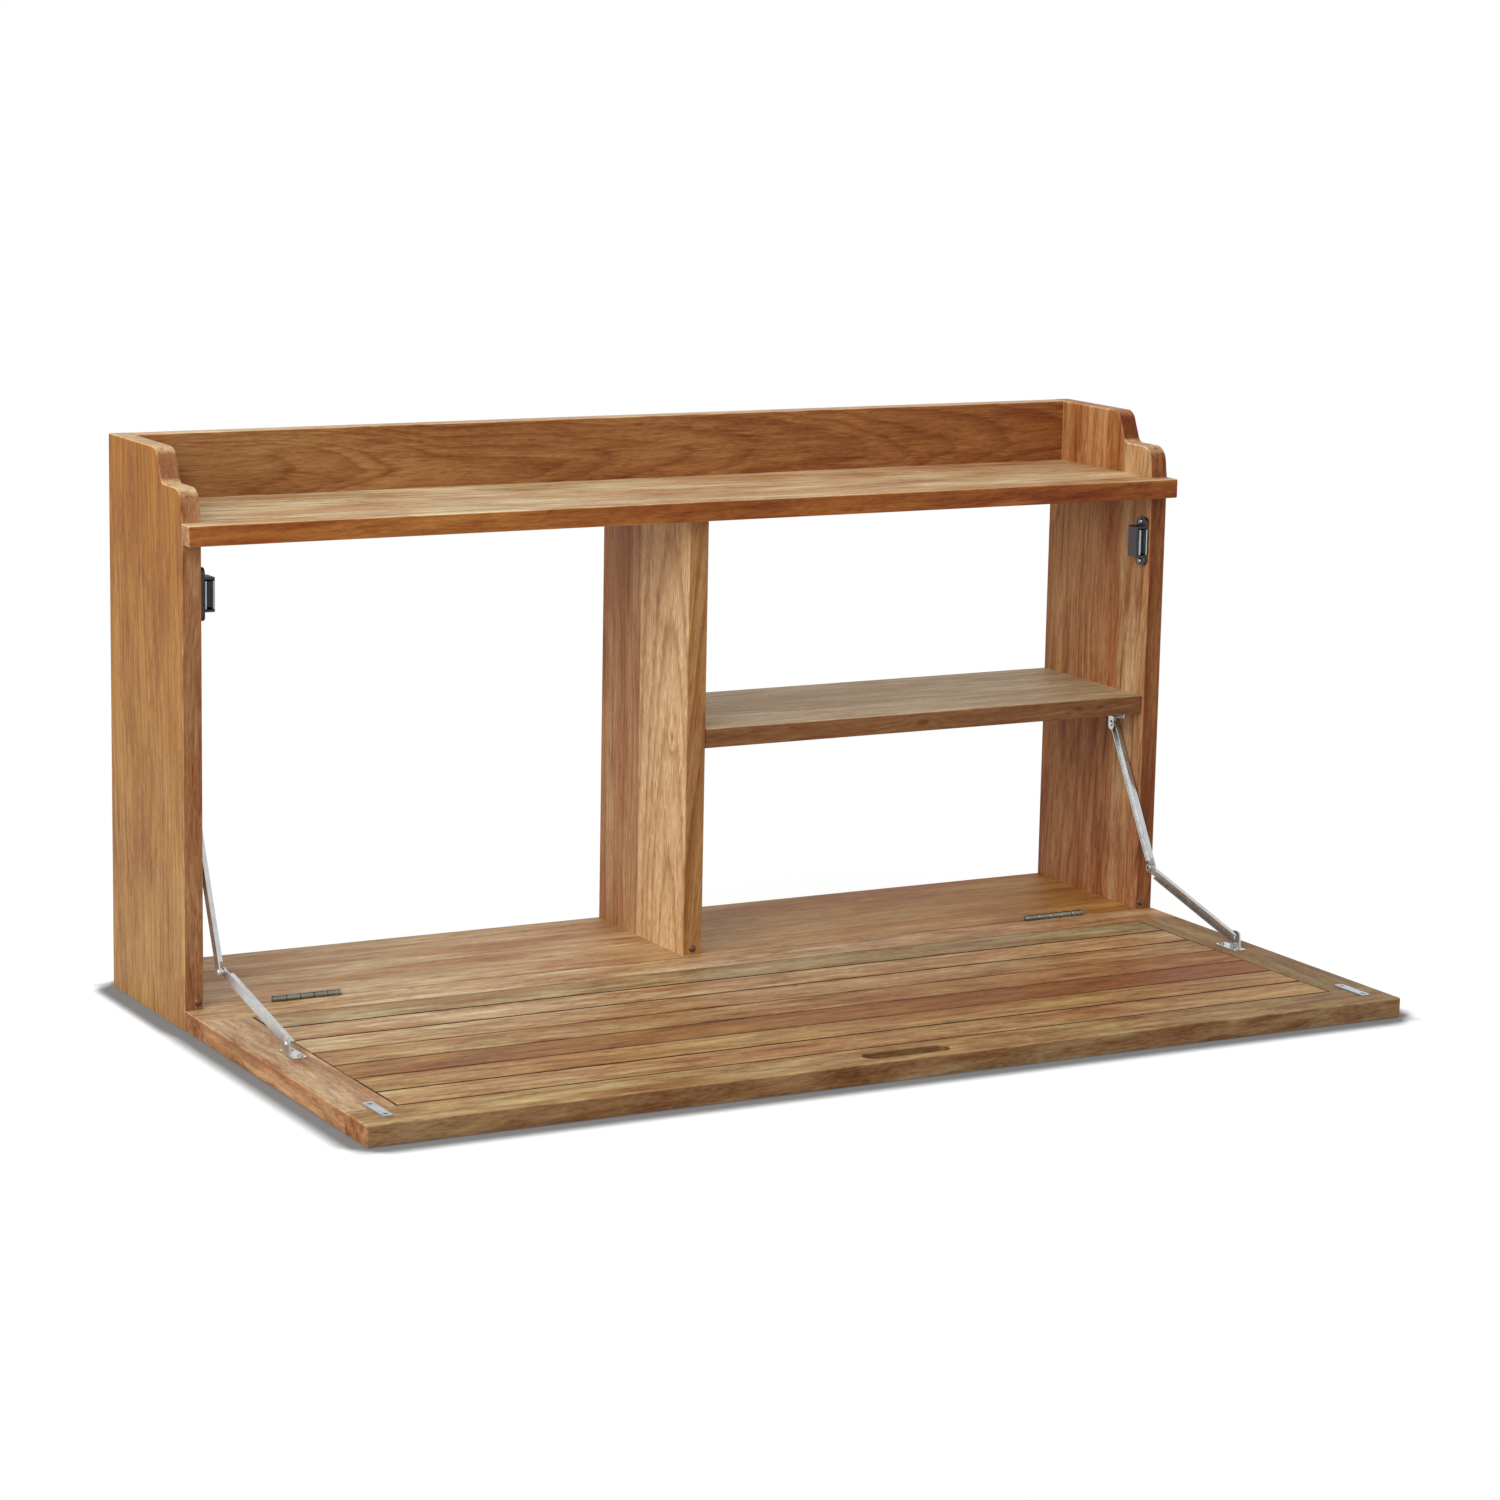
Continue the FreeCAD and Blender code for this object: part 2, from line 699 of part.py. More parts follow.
slat_end = stile_inner - d.slat_end_gap
tongue_end = stile_inner + d.tongue_length - d.fit
slat_width = slat_pitch - d.slat_gap
slat_rims = []
for z in (0, d.board):
    slat_rims += [on(y=0, z=z), on(y=-slat_width, z=z), on(x=slat_end, z=z), on(x=-slat_end, z=z)]
for number in range(SLATS):
    slat = new_body("flap_slat_%d" % (number + 1))
    profile = [
        (-slat_end, 0),
        (slat_end, 0),
        (slat_end, tongue_low),
        (tongue_end, tongue_low),
        (tongue_end, tongue_high),
        (slat_end, tongue_high),
        (slat_end, d.board),
        (-slat_end, d.board),
        (-slat_end, tongue_high),
        (-tongue_end, tongue_high),
        (-tongue_end, tongue_low),
        (-slat_end, tongue_low),
    ]
    pad(slat, "Y", 0, -1, slat_width, [profile])
    round_edges(slat, d.slat_ease, *slat_rims)
    place(slat, y=rail_front - d.first_joint - slat_pitch * number)


# Dowels
def dowel(face_point, direction):
    """Dowel set in a face by the short share and in a board end by the long one."""
    start = face_point - direction * d.dowel_face.value
    length = d.dowel_face + d.dowel_end
    profile = [(0, 0), (d.dowel_radius, 0), (d.dowel_radius, length), (0, length)]
    return turned(profile, start, direction)


to_right = vector(1, 0, 0)
to_left = vector(-1, 0, 0)
to_back = vector(0, 1, 0)
to_front = vector(0, -1, 0)
upward = vector(0, 0, 1)
downward = vector(0, 0, -1)
middle = d.board / 2
dowels = []
for y in row_depths:
    for z in (middle, shelf_height - middle):
        dowels.append(dowel(vector(-half_inside, y, z), to_right))
        dowels.append(dowel(vector(half_inside, y, z), to_left))
for z in gallery_rows:
    dowels.append(dowel(vector(-half_inside, -middle, shelf_height + z), to_right))
    dowels.append(dowel(vector(half_inside, -middle, shelf_height + z), to_left))
for y in divider_rows:
    dowels.append(dowel(vector(d.divider_offset, y, d.board), upward))
    dowels.append(dowel(vector(d.divider_offset, y, shelf_under), downward))
for y in small_rows:
    dowels.append(dowel(vector(divider_right, y, small_under + middle), to_right))
    dowels.append(dowel(vector(half_inside, y, small_under + middle), to_left))
group("case_dowels", dowels)

flap_dowels = []
for x in stile_rows:
    for side in (LEFT, RIGHT):
        flap_dowels.append(dowel(vector(x * side, rail_front, middle), to_front))
        flap_dowels.append(dowel(vector(x * side, front_joint, middle), to_back))
group("flap_dowels", flap_dowels)

# Butt hinges
knuckle = (d.hinge_length - d.knuckle_gap * (KNUCKLES - 1)) / KNUCKLES
knuckle_step = knuckle + d.knuckle_gap
leaf_top = -(d.barrel_radius + d.knuckle_gap)
leaf_screw_z = (leaf_top - d.leaf_height) / 2


def barrel_rim(edge):
    """Picks the round ends of the knuckles."""
    return hasattr(edge.Curve, "Radius") and abs(edge.Curve.Radius - d.barrel_radius.value) < 1e-4


def make_leaf(label, side, toward, own, bore):
    """One leaf with its knuckles, drawn about the pin and set into its board edge."""
    body = new_body(label)
    half = d.hinge_length / 2
    face = d.leaf_meet * toward
    starts = [knuckle_step * n - half for n in own]
    pad(body, "Y", face, toward, d.leaf_sheet, [rectangle(-half, -d.leaf_height, half, leaf_top)])
    tabs = [rectangle(start, leaf_top, start + knuckle, 0) for start in starts]
    pad(body, "Y", face, toward, d.leaf_sheet, tabs)
    for start in starts:
        pad(body, "X", start, 1, knuckle, [(0, 0, d.barrel_radius)])
    dress("Chamfer", body, "Size", d.knuckle_ease, [barrel_rim])
    pocket(body, "X", -half, 1, d.hinge_length, [(0, 0, bore)])
    centres = [(d.hinge_screw_reach * step, leaf_screw_z) for step in (-1, 1)]
    sink_holes(body, "Y", face, toward, d.leaf_sheet, centres)
    place(body, x=hinge_offset * side, y=pin_y, z=pin_z)


pins = []
case_screws = []
flap_screws = []
for hand, name in HANDS:
    make_leaf(name + "_hinge_case_leaf", hand, 1, (0, 2, 4), d.hinge_pin + d.run)
    make_leaf(name + "_hinge_flap_leaf", hand, -1, (1, 3), d.hinge_pin + d.run)
    start = hinge_offset * hand - d.hinge_length / 2
    tip = d.hinge_pin / 2
    rod = [(0, -d.pin_head), (tip, -d.pin_head), (d.hinge_pin, 0), (d.hinge_pin, d.hinge_length)]
    rod += [(tip, d.hinge_length + d.pin_head), (0, d.hinge_length + d.pin_head)]
    pins.append(turned(rod, vector(start, pin_y, pin_z), to_right))
    for step in (-1, 1):
        x = hinge_offset * hand + d.hinge_screw_reach * step
        seat = vector(x, pin_y + d.leaf_meet, pin_z + leaf_screw_z)
        case_screws.append(flat_screw(seat, to_back, d.screw_length))
        seat = vector(x, pin_y - d.leaf_meet, pin_z + leaf_screw_z)
        flap_screws.append(flat_screw(seat, to_front, d.screw_length))
group("hinge_pins", pins)
group("hinge_case_screws", case_screws)
group("hinge_flap_screws", flap_screws)


# Magnetic catches with strike plates
def inboard_rectangle(hand, near, far, low, high):
    """Rectangle whose first axis runs from a side toward the middle of the case."""
    return rectangle(near * -hand, low, far * -hand, high)


def make_catch(hand, name):
    body = new_body(name + "_catch_housing")
    half_flange = d.catch_flange / 2
    half_body = d.catch_body / 2
    pad(body, "X", 0, -hand, d.flange_sheet, [rectangle(0, -half_flange, d.catch_depth, half_flange)])
    corners = [on(y=y, z=z) for y in (0, d.catch_depth) for z in (-half_flange, half_flange)]
    round_edges(body, d.flange_round, *corners)
    pad(body, "X", 0, -hand, d.catch_reach, [rectangle(0, -half_body, d.catch_depth, half_body)])
    round_edges(body, d.slat_ease, on(x=-d.catch_reach * hand))
    cavity_end = d.catch_reach - d.cavity_wall
    half_cavity = d.cavity_height / 2
    cavity = inboard_rectangle(hand, d.cavity_start, cavity_end, -half_cavity, half_cavity)
    pocket(body, "Y", 0, 1, d.cavity_depth, [cavity])
    reach = d.catch_screw_reach
    holes = [(d.catch_depth / 2, z, d.screw_shank + d.fit) for z in (-reach, reach)]
    pocket(body, "X", -d.flange_sheet * hand, hand, d.flange_sheet, holes)
    place(body, x=half_inside * hand, y=catch_front, z=catch_height)


def block(x0, y0, z0, x1, y1, z1):
    """Plain block between two corners given in any order."""
    low = vector(min(x0.value, x1.value), min(y0.value, y1.value), min(z0.value, z1.value))
    size = [abs((b - a).value) for a, b in ((x0, x1), (y0, y1), (z0, z1))]
    return Part.makeBox(size[0], size[1], size[2], low)


pole_face = -(d.case_depth + face_gap - d.strike_sheet - d.strike_play)
pole_back = catch_front + d.cavity_depth - d.seat
poles = []
magnets = []
catch_screws = []
for hand, name in HANDS:
    make_catch(hand, name)
    low = catch_height - d.pole_height / 2
    high = catch_height + d.pole_height / 2
    for near, far in ((pole_near, pole_near + d.pole_sheet), (pole_far - d.pole_sheet, pole_far)):
        x0 = (half_inside - near) * hand
        x1 = (half_inside - far) * hand
        poles.append(block(x0, pole_face, low, x1, pole_back, high))
    x0 = (half_inside - pole_near - d.pole_sheet - d.fit) * hand
    x1 = (half_inside - pole_far + d.pole_sheet + d.fit) * hand
    low = catch_height - d.magnet_height / 2
    high = catch_height + d.magnet_height / 2
    magnets.append(block(x0, pole_back - d.magnet_depth, low, x1, pole_back, high))
    for step in (-1, 1):
        z = catch_height + d.catch_screw_reach * step
        head = vector((half_inside - d.flange_sheet) * hand, catch_front + d.catch_depth / 2, z)
        catch_screws.append(dome_screw(head, vector(hand, 0, 0)))
group("catch_pole_plates", poles)
group("catch_magnets", magnets)
group("catch_screws", catch_screws)

strike_screws = []
for hand, name in HANDS:
    strike = new_body(name + "_strike_plate")
    half = d.strike_width / 2
    reach = d.strike_length / 2
    pad(strike, "Z", 0, 1, d.strike_sheet, [rectangle(-half, -reach, half, reach)])
    corners = [on(x=x, y=y) for x in (-half, half) for y in (-reach, reach)]
    round_edges(strike, d.strike_round, *corners)
    centres = [(0, -d.strike_screw_reach), (0, d.strike_screw_reach)]
    sink_holes(strike, "Z", d.strike_sheet, -1, d.strike_sheet, centres)
    place(strike, x=strike_x * hand, y=strike_y, z=d.board)
    for y in strike_screws_y:
        seat = vector(strike_x * hand, y, d.board + d.strike_sheet)
        strike_screws.append(flat_screw(seat, downward, d.strike_screw_length))
group("strike_screws", strike_screws)

# Folding stays
def stay_points(hand):
    """Pivot on the case, knee and pivot on the flap. The knee lies behind the line between the pivots."""
    top = vector(0, *stay_tops[hand])
    foot = vector(0, foot_y, foot_height)
    span = foot - top
    along = span.Length / 2
    knee_back = math.sqrt(stay_arm.value ** 2 - along ** 2)
    across = vector(1, 0, 0).cross(span)
    across.normalize()
    return top, top + span * 0.5 + across * knee_back, foot


def make_case_bracket(hand, name):
    """Clevis below a cross plate that is screwed to the side. Its inner ear holds the upper arm."""
    body = new_body(name + "_stay_case_bracket")
    sheet_end = d.bracket_sheet
    ear_end = ear_gap + d.bracket_sheet
    section = [
        (0, -d.ear_drop),
        (0, d.bracket_top),
        (ear_end, d.bracket_top),
        (ear_end, -d.ear_drop),
        (ear_gap, -d.ear_drop),
        (ear_gap, web_under),
        (sheet_end, web_under),
        (sheet_end, -d.ear_drop),
    ]
    half = d.bracket_width / 2
    pad(body, "Y", -half, 1, d.bracket_width, [[(as_size(x) * -hand, z) for x, z in section]])
    round_edges(body, d.ear_round, on(y=-half, z=-d.ear_drop), on(y=half, z=-d.ear_drop))
    wing = rectangle(-d.wing_reach, web_under, d.wing_reach, wing_top)
    pad(body, "X", 0, -hand, d.bracket_sheet, [wing])
    corners = [on(y=y, z=z) for y in (-d.wing_reach, d.wing_reach) for z in (web_under, wing_top)]
    round_edges(body, d.wing_round, *corners)
    pocket(body, "X", 0, -hand, ear_end, [(0, 0, d.rivet_radius + d.run)])
    centres = [(d.bracket_screw_reach * step, wing_middle) for step in (-1, 1)]
    sink_holes(body, "X", sheet_end * -hand, hand, d.bracket_sheet, centres)
    stay_y, stay_z = stay_tops[hand]
    place(body, x=half_inside * hand, y=stay_y, z=stay_z)


def make_flap_bracket(hand, name):
    """Foot screwed to the flap with an ear that carries the lower arm."""
    body = new_body(name + "_stay_flap_bracket")
    back = d.foot_length / 2
    foot_plate = inboard_rectangle(hand, as_size(0), d.foot_width, -back, back)
    pad(body, "Z", 0, 1, d.bracket_sheet, [foot_plate])
    inner = d.foot_width * -hand
    round_edges(body, d.ear_round, on(x=inner, y=-back), on(x=inner, y=back))
    ear_top = d.stay_foot_rise + d.ear_drop
    ear_plate = [
        (-d.ear_half, 0),
        (d.ear_half, 0),
        (d.ear_drop, ear_top),
        (-d.ear_drop, ear_top),
    ]
    pad(body, "X", 0, -hand, d.bracket_sheet, [ear_plate])
    round_edges(body, d.ear_round, on(y=d.ear_drop, z=ear_top), on(y=-d.ear_drop, z=ear_top))
    pocket(body, "X", 0, -hand, d.bracket_sheet, [(0, d.stay_foot_rise, d.rivet_radius + d.run)])
    screw_x = d.foot_screw_inset * -hand
    holes = [(screw_x, d.foot_screw_reach * step, d.screw_shank + d.fit) for step in (-1, 1)]
    pocket(body, "Z", d.bracket_sheet, -1, d.bracket_sheet, holes)
    place(body, x=flap_ear_x * hand, y=foot_y, z=d.board)


def set_arm(body, hand, x, start, knee):
    """Lay an arm drawn along its own X from its pivot toward the knee, open side inboard."""
    run = knee - start
    run.normalize()
    inboard = vector(-hand, 0, 0)
    turn = FreeCAD.Rotation(run, inboard.cross(run), inboard, "ZXY")
    seat = FreeCAD.Vector(x.value * hand, start.y, start.z)
    body.Placement = FreeCAD.Placement(seat, turn)


def arm_flanges(body, start, end):
    half = d.arm_width / 2
    web = half - d.arm_sheet
    rails = [rectangle(start, web, end, half), rectangle(start, -half, end, -web)]
    pad(body, "Z", 0, 1, d.arm_channel, rails)


def make_upper_arm(hand, name, top, knee):
    body = new_body(name + "_stay_upper_arm")
    pad(body, "Z", 0, 1, d.arm_sheet, [(0, stay_arm, 0, d.arm_width / 2)])
    arm_flanges(body, 0, stay_arm - d.arm_stop)
    holes = [(0, 0, d.rivet_radius + d.run), (stay_arm, 0, d.rivet_radius + d.run)]
    pocket(body, "Z", 0, 1, d.arm_sheet, holes)
    set_arm(body, hand, upper_arm_x, top, knee)


def make_lower_arm(hand, name, foot, knee):
    body = new_body(name + "_stay_lower_arm")
    half = d.arm_width / 2
    channel_end = stay_arm - d.tongue_reach
    pad(body, "Z", 0, 1, d.arm_sheet, [(0, stay_arm, 0, d.tongue_radius)])
    pad(body, "Z", 0, 1, d.arm_sheet, [rectangle(-d.arm_tail, -half, channel_end, half)])
    arm_flanges(body, -d.arm_tail, channel_end)
    holes = [(0, 0, d.rivet_radius + d.run), (stay_arm, 0, d.eyelet_shank + d.run)]
    pocket(body, "Z", 0, 1, d.arm_sheet, holes)
    set_arm(body, hand, lower_arm_x, foot, knee)


stay_case_screws = []
stay_flap_screws = []
case_rivets = []
flap_rivets = []
for hand, name in HANDS:
    top, knee, foot = stay_points(hand)
    make_case_bracket(hand, name)
    make_flap_bracket(hand, name)
    make_upper_arm(hand, name, top, knee)
    make_lower_arm(hand, name, foot, knee)
    inboard = vector(-hand, 0, 0)
    shank = d.rivet_radius
    head = d.rivet_head
    ear_end = ear_gap + d.bracket_sheet
    profile = [(0, 0), (shank, 0), (shank, ear_end + d.run), (head, ear_end + d.run)]
    profile += [(head * 0.7, ear_end + d.rivet_cap), (0, ear_end + d.rivet_cap)]
    stay_y, stay_z = stay_tops[hand]
    case_rivets.append(turned(profile, vector(half_inside * hand, stay_y, stay_z), inboard))
    grip = d.bracket_sheet + d.stay_play + d.arm_sheet + d.seat
    profile = [(0, -d.rivet_cap), (head * 0.7, -d.rivet_cap), (head, -d.run), (shank, -d.run), (shank, grip)]
    profile += [(head, grip), (head * 0.7, grip + d.rivet_cap), (0, grip + d.rivet_cap)]
    foot_point = vector(flap_ear_x * hand, foot_y, foot_height)
    flap_rivets.append(turned(profile, foot_point, inboard))
    lip = d.arm_sheet + d.run
    stud = [(0, -d.stud_cap), (head * 0.8, -d.stud_cap), (head, -d.run), (shank, -d.run)]
    stud += [(shank, lip), (head, lip), (head, d.arm_channel), (0, d.arm_channel)]
    knee_seat = FreeCAD.Vector(upper_arm_x.value * hand, knee.y, knee.z)
    group(name + "_knee_stud", [turned(stud, knee_seat, inboard)])
    bore = d.eyelet_bore
    ring_top = lip + d.eyelet_lip
    eyelet = [(bore, 0), (d.eyelet_shank, 0), (d.eyelet_shank, lip), (d.eyelet_ring, lip)]
    eyelet += [(d.eyelet_ring - d.eyelet_lip / 2, ring_top), (bore, ring_top)]
    knee_seat = FreeCAD.Vector(lower_arm_x.value * hand, knee.y, knee.z)
    group(name + "_knee_eyelet", [turned(eyelet, knee_seat, inboard)])
    for step in (-1, 1):
        y = stay_y + d.bracket_screw_reach * step
        seat = vector((half_inside - d.bracket_sheet) * hand, y, stay_z + wing_middle)
        stay_case_screws.append(flat_screw(seat, vector(hand, 0, 0), d.screw_length))
    for y in foot_screws_y:
        seat = vector(foot_screw_x * hand, y, d.board + d.bracket_sheet)
        stay_flap_screws.append(dome_screw(seat, downward))
group("stay_case_screws", stay_case_screws)
group("stay_flap_screws", stay_flap_screws)
group("stay_case_rivets", case_rivets)
group("stay_flap_rivets", flap_rivets)

# Bumpers on the front edges of the uprights
cap_radius = (d.bumper_radius * d.bumper_radius + d.bumper_height * d.bumper_height) / (d.bumper_height * 2)
cap_start = math.degrees(math.asin((cap_radius - d.bumper_height).value / cap_radius.value))
bumper_x = half_inside + d.bumper_inset
bumper_seats = ((-bumper_x, d.case_depth), (bumper_x, d.case_depth), (d.divider_offset, divider_depth))
bumpers = []
for x, depth in bumper_seats:
    cap = Part.makeSphere(cap_radius.value, vector(0, 0, 0), vector(0, 0, 1), cap_start, 90, 360)
    sunk = (cap_radius - d.bumper_height).value
    seat = vector(x, -depth, d.board + d.bumper_rise) - to_front * sunk
    cap.Placement = FreeCAD.Placement(seat, FreeCAD.Rotation(vector(0, 0, 1), to_front))
    bumpers.append(cap)
group("flap_bumpers", bumpers)

# Keyhole hangers let into the back edges of the sides
hanger_x = half_width - d.board / 2
hanger_screws = []
for hand, name in HANDS:
    hanger = new_body(name + "_hanger_plate")
    half = d.hanger_width / 2
    reach = d.hanger_length / 2
    pad(hanger, "Y", 0, -1, d.hanger_sheet, [rectangle(-half, -reach, half, reach)])
    pocket(hanger, "Y", 0, -1, d.hanger_sheet, [(0, -d.keyhole_drop, d.keyhole_entry)])
    neck = rectangle(-d.keyhole_slot, -d.keyhole_drop, d.keyhole_slot, d.keyhole_rise)
    pocket(hanger, "Y", 0, -1, d.hanger_sheet, [neck])
    pocket(hanger, "Y", 0, -1, d.hanger_sheet, [(0, d.keyhole_rise, d.keyhole_slot)])
    centres = [(0, -d.hanger_screw_reach), (0, d.hanger_screw_reach)]
    sink_holes(hanger, "Y", 0, -1, d.hanger_sheet, centres)
    place(hanger, x=hanger_x * hand, z=hanger_height)
    for step in (-1, 1):
        z = hanger_height + d.hanger_screw_reach * step
        hanger_screws.append(flat_screw(vector(hanger_x * hand, 0, z), to_front, d.screw_length))
group("hanger_screws", hanger_screws)

# Check every piece and write it out
doc.recompute()
os.makedirs("parts", exist_ok=True)
for item in doc.Objects:
    if "Invalid" in item.State or "Error" in item.State:
        raise RuntimeError("%s did not recompute" % item.Label)
pieces = [item for item in doc.Objects if item.TypeId in ("PartDesign::Body", "Part::Feature")]
for piece in pieces:
    shape = piece.Shape
    if shape.isNull() or not shape.isValid() or not shape.Solids:
        raise RuntimeError("%s has no sound shape" % piece.Label)
    shape.exportStep("parts/%s.step" % piece.Label)
print("%d pieces written" % len(pieces))
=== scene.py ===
# %% [markdown]
# # A fold down wall desk in teak
# The desk is a small open cabinet with a scrolled gallery, and a slatted flap that hangs on two butt
# hinges and two folding stays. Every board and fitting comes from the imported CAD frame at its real
# size. This lesson gives each piece the finish of the real one, swaps the plain screws for screws
# with a cross recess, and sets up a small photo studio around the desk.

# %% Load the frame
import bmesh
import bpy
import math
from mathutils import Matrix, Vector


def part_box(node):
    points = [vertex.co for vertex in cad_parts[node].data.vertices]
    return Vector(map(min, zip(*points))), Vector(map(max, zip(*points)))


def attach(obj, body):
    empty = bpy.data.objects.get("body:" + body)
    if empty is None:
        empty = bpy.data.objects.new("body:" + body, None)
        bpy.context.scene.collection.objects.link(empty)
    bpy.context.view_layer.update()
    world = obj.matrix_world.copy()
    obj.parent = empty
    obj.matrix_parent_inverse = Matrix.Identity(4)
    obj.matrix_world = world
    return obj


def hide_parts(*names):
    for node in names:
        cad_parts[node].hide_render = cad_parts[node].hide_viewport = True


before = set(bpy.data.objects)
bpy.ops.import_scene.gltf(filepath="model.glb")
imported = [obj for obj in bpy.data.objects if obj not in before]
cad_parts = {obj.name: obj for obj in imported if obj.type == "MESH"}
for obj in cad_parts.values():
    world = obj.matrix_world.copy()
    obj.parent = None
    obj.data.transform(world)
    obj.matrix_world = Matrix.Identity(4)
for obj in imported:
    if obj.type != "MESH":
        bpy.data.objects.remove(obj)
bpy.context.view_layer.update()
mm = 0.001
print("CAD nodes:", len(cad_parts))

# %% [markdown]
# ## Helpers for node trees
# Colours are written as sRGB hex, as a colour picker shows them. Shaders work in linear light, so one
# function turns the hex into linear values. The second function adds a node to a tree: it sets the
# node's own settings, feeds its inputs with plain values or with other nodes' outputs, and hands back
# the output that the next node needs. An input goes by the name that Blender shows beside it, or by
# its number where a node has several inputs of one name. A list feeds an input that takes many links.


# %% Colour and node helpers
def colour(hex_code):
    """Linear RGBA from an sRGB hex code."""
    shares = [int(hex_code[n:n + 2], 16) / 255 for n in (1, 3, 5)]
    linear = [s / 12.92 if s <= 0.04045 else ((s + 0.055) / 1.055) ** 2.4 for s in shares]
    return (*linear, 1.0)


def add(tree, kind, feeds=None, out=0, stops=(), **settings):
    """One node with its settings and feeds, and a ramp's stops of grey. Gives the chosen output."""
    node = tree.nodes.new(kind)
    for key, value in settings.items():
        setattr(node, key, value)
    for key, value in (feeds or {}).items():
        sources = value if isinstance(value, list) else [value]
        for source in sources:
            if isinstance(source, bpy.types.NodeSocket):
                tree.links.new(source, node.inputs[key])
            else:
                node.inputs[key].default_value = source
    for number, (place, grey) in enumerate(stops):
        ramp = node.color_ramp.elements
        stop = ramp[number] if number < len(ramp) else ramp.new(place)
        stop.position = place
        stop.color = (grey, grey, grey, 1.0)
    return node.outputs[out] if node.outputs else node


def new_material(name):
    """An empty material and its tree."""
    material = bpy.data.materials.new(name)
    material.use_nodes = True
    material.node_tree.nodes.clear()
    return material, material.node_tree


print("white in linear light:", colour("#FFFFFF"))

# %% [markdown]
# ## Teak, sawn from a log
# Teak is an oily, golden brown wood with dark late wood lines, long streaks and fine pores. A flat
# picture of wood would stretch on the ends of a board, so the grain here is a solid texture: each point
# asks where it lies in the log that the board was sawn from. Rings around the heart then give arches on
# a flat sawn face, straight lines on a quarter sawn one and arcs on the end grain, all from one rule.
# Slow noise bends the log a little, because no tree grows straight. Nearly everything else in wood is
# drawn out along the grain, so one helper makes noise that is longer than it is wide.

# %% The log
BEND_LONG = 220
BEND_WIDE = 60


def streaks(tree, log, long, wide, detail, out=0):
    """Soft noise drawn out along X, the way of the log, with its length and width in millimetres."""
    waves = (1 / (long * mm), 1 / (wide * mm), 1 / (wide * mm))
    drawn = add(tree, "ShaderNodeVectorMath", {0: log, 1: waves}, operation="MULTIPLY")
    return add(tree, "ShaderNodeTexNoise", {"Vector": drawn, "Scale": 1.0, "Detail": detail}, out=out)


def in_log(tree, place, run, heart, sway):
    """A board's point in the log, whose heart is the X axis: straight, and bent by some millimetres."""
    turn = Vector((1, 0, 0)).rotation_difference(Vector(run)).to_euler()
    start = Vector(heart) * mm
    log = add(tree, "ShaderNodeMapping", {"Vector": place, "Location": start, "Rotation": turn},
              vector_type="TEXTURE")
    bend = streaks(tree, log, BEND_LONG, BEND_WIDE, detail=2.0, out="Color")
    # Noise lies between 0 and 1, so twice the sway spans from one side to the other
    reach = (0, 2 * sway * mm, 2 * sway * mm)
    swayed = add(tree, "ShaderNodeVectorMath", {0: bend, 1: reach, 2: log}, operation="MULTIPLY_ADD")
    return log, swayed


print("a log bends once in about", BEND_LONG, "mm")

# %% [markdown]
# ## Rings and knots
# A ring is one year: pale early wood that deepens slowly and ends in a dark late wood line. Years
# differ, so noise along the radius makes the rings uneven, and the fibres fray their edges. A knot is
# a branch that the rings had to grow around. A knot could be a painted spot, but pushing the radius
# outwards there bends all the rings around it, as the tree did, and only its eye has to be dark.

# %% Rings and knots
# A knot bends the rings as far as this many of its radii, and by this many at its middle
KNOT_REACH = 4
KNOT_PUSH = 2.5
# Distances along the grain count less, so that a knot is longer than it is wide
KNOT_SQUEEZE = 0.45
# The eye is dark up to this share of its radius, and takes away this share of the light
EYE_CORE = 0.4
EYE_DARK = 0.5
# Years change in runs of about three, and shift a ring by up to this many widths
YEAR_RUN = 0.31
YEAR_SHIFT = 2.5
RING_FRAY = 0.5
# Share of late wood at places in one year
ONE_YEAR = [(0.0, 0.25), (0.12, 0.0), (0.55, 0.22), (0.86, 1.0), (1.0, 0.25)]


def from_heart(tree, place, swayed, grain, knots):
    """Distance from the heart, pushed outwards around knots, and the dark eyes of the knots."""
    across = add(tree, "ShaderNodeVectorMath", {0: swayed, 1: (0, 1, 1)}, operation="MULTIPLY")
    radius = add(tree, "ShaderNodeVectorMath", {0: across}, out="Value", operation="LENGTH")
    squeeze = tuple(KNOT_SQUEEZE if axis == grain else 1.0 for axis in range(3))
    eye = None
    for point, size in knots:
        here = add(tree, "ShaderNodeVectorMath", {0: place, 1: squeeze}, operation="MULTIPLY")
        centre = tuple(p * mm * s for p, s in zip(point, squeeze))
        away = add(tree, "ShaderNodeVectorMath", {0: here, 1: centre}, out="Value", operation="DISTANCE")
        push = add(tree, "ShaderNodeMapRange", {
            "Value": away, "From Max": KNOT_REACH * size * mm, "To Min": KNOT_PUSH * size * mm,
            "To Max": 0.0}, interpolation_type="SMOOTHERSTEP")
        radius = add(tree, "ShaderNodeMath", {0: radius, 1: push}, operation="ADD")
        dark = add(tree, "ShaderNodeMapRange", {
            "Value": away, "From Min": EYE_CORE * size * mm, "From Max": size * mm, "To Min": EYE_DARK,
            "To Max": 0.0}, interpolation_type="SMOOTHSTEP")
        eye = dark if eye is None else add(tree, "ShaderNodeMath", {0: eye, 1: dark}, operation="MAXIMUM")
    return radius, eye


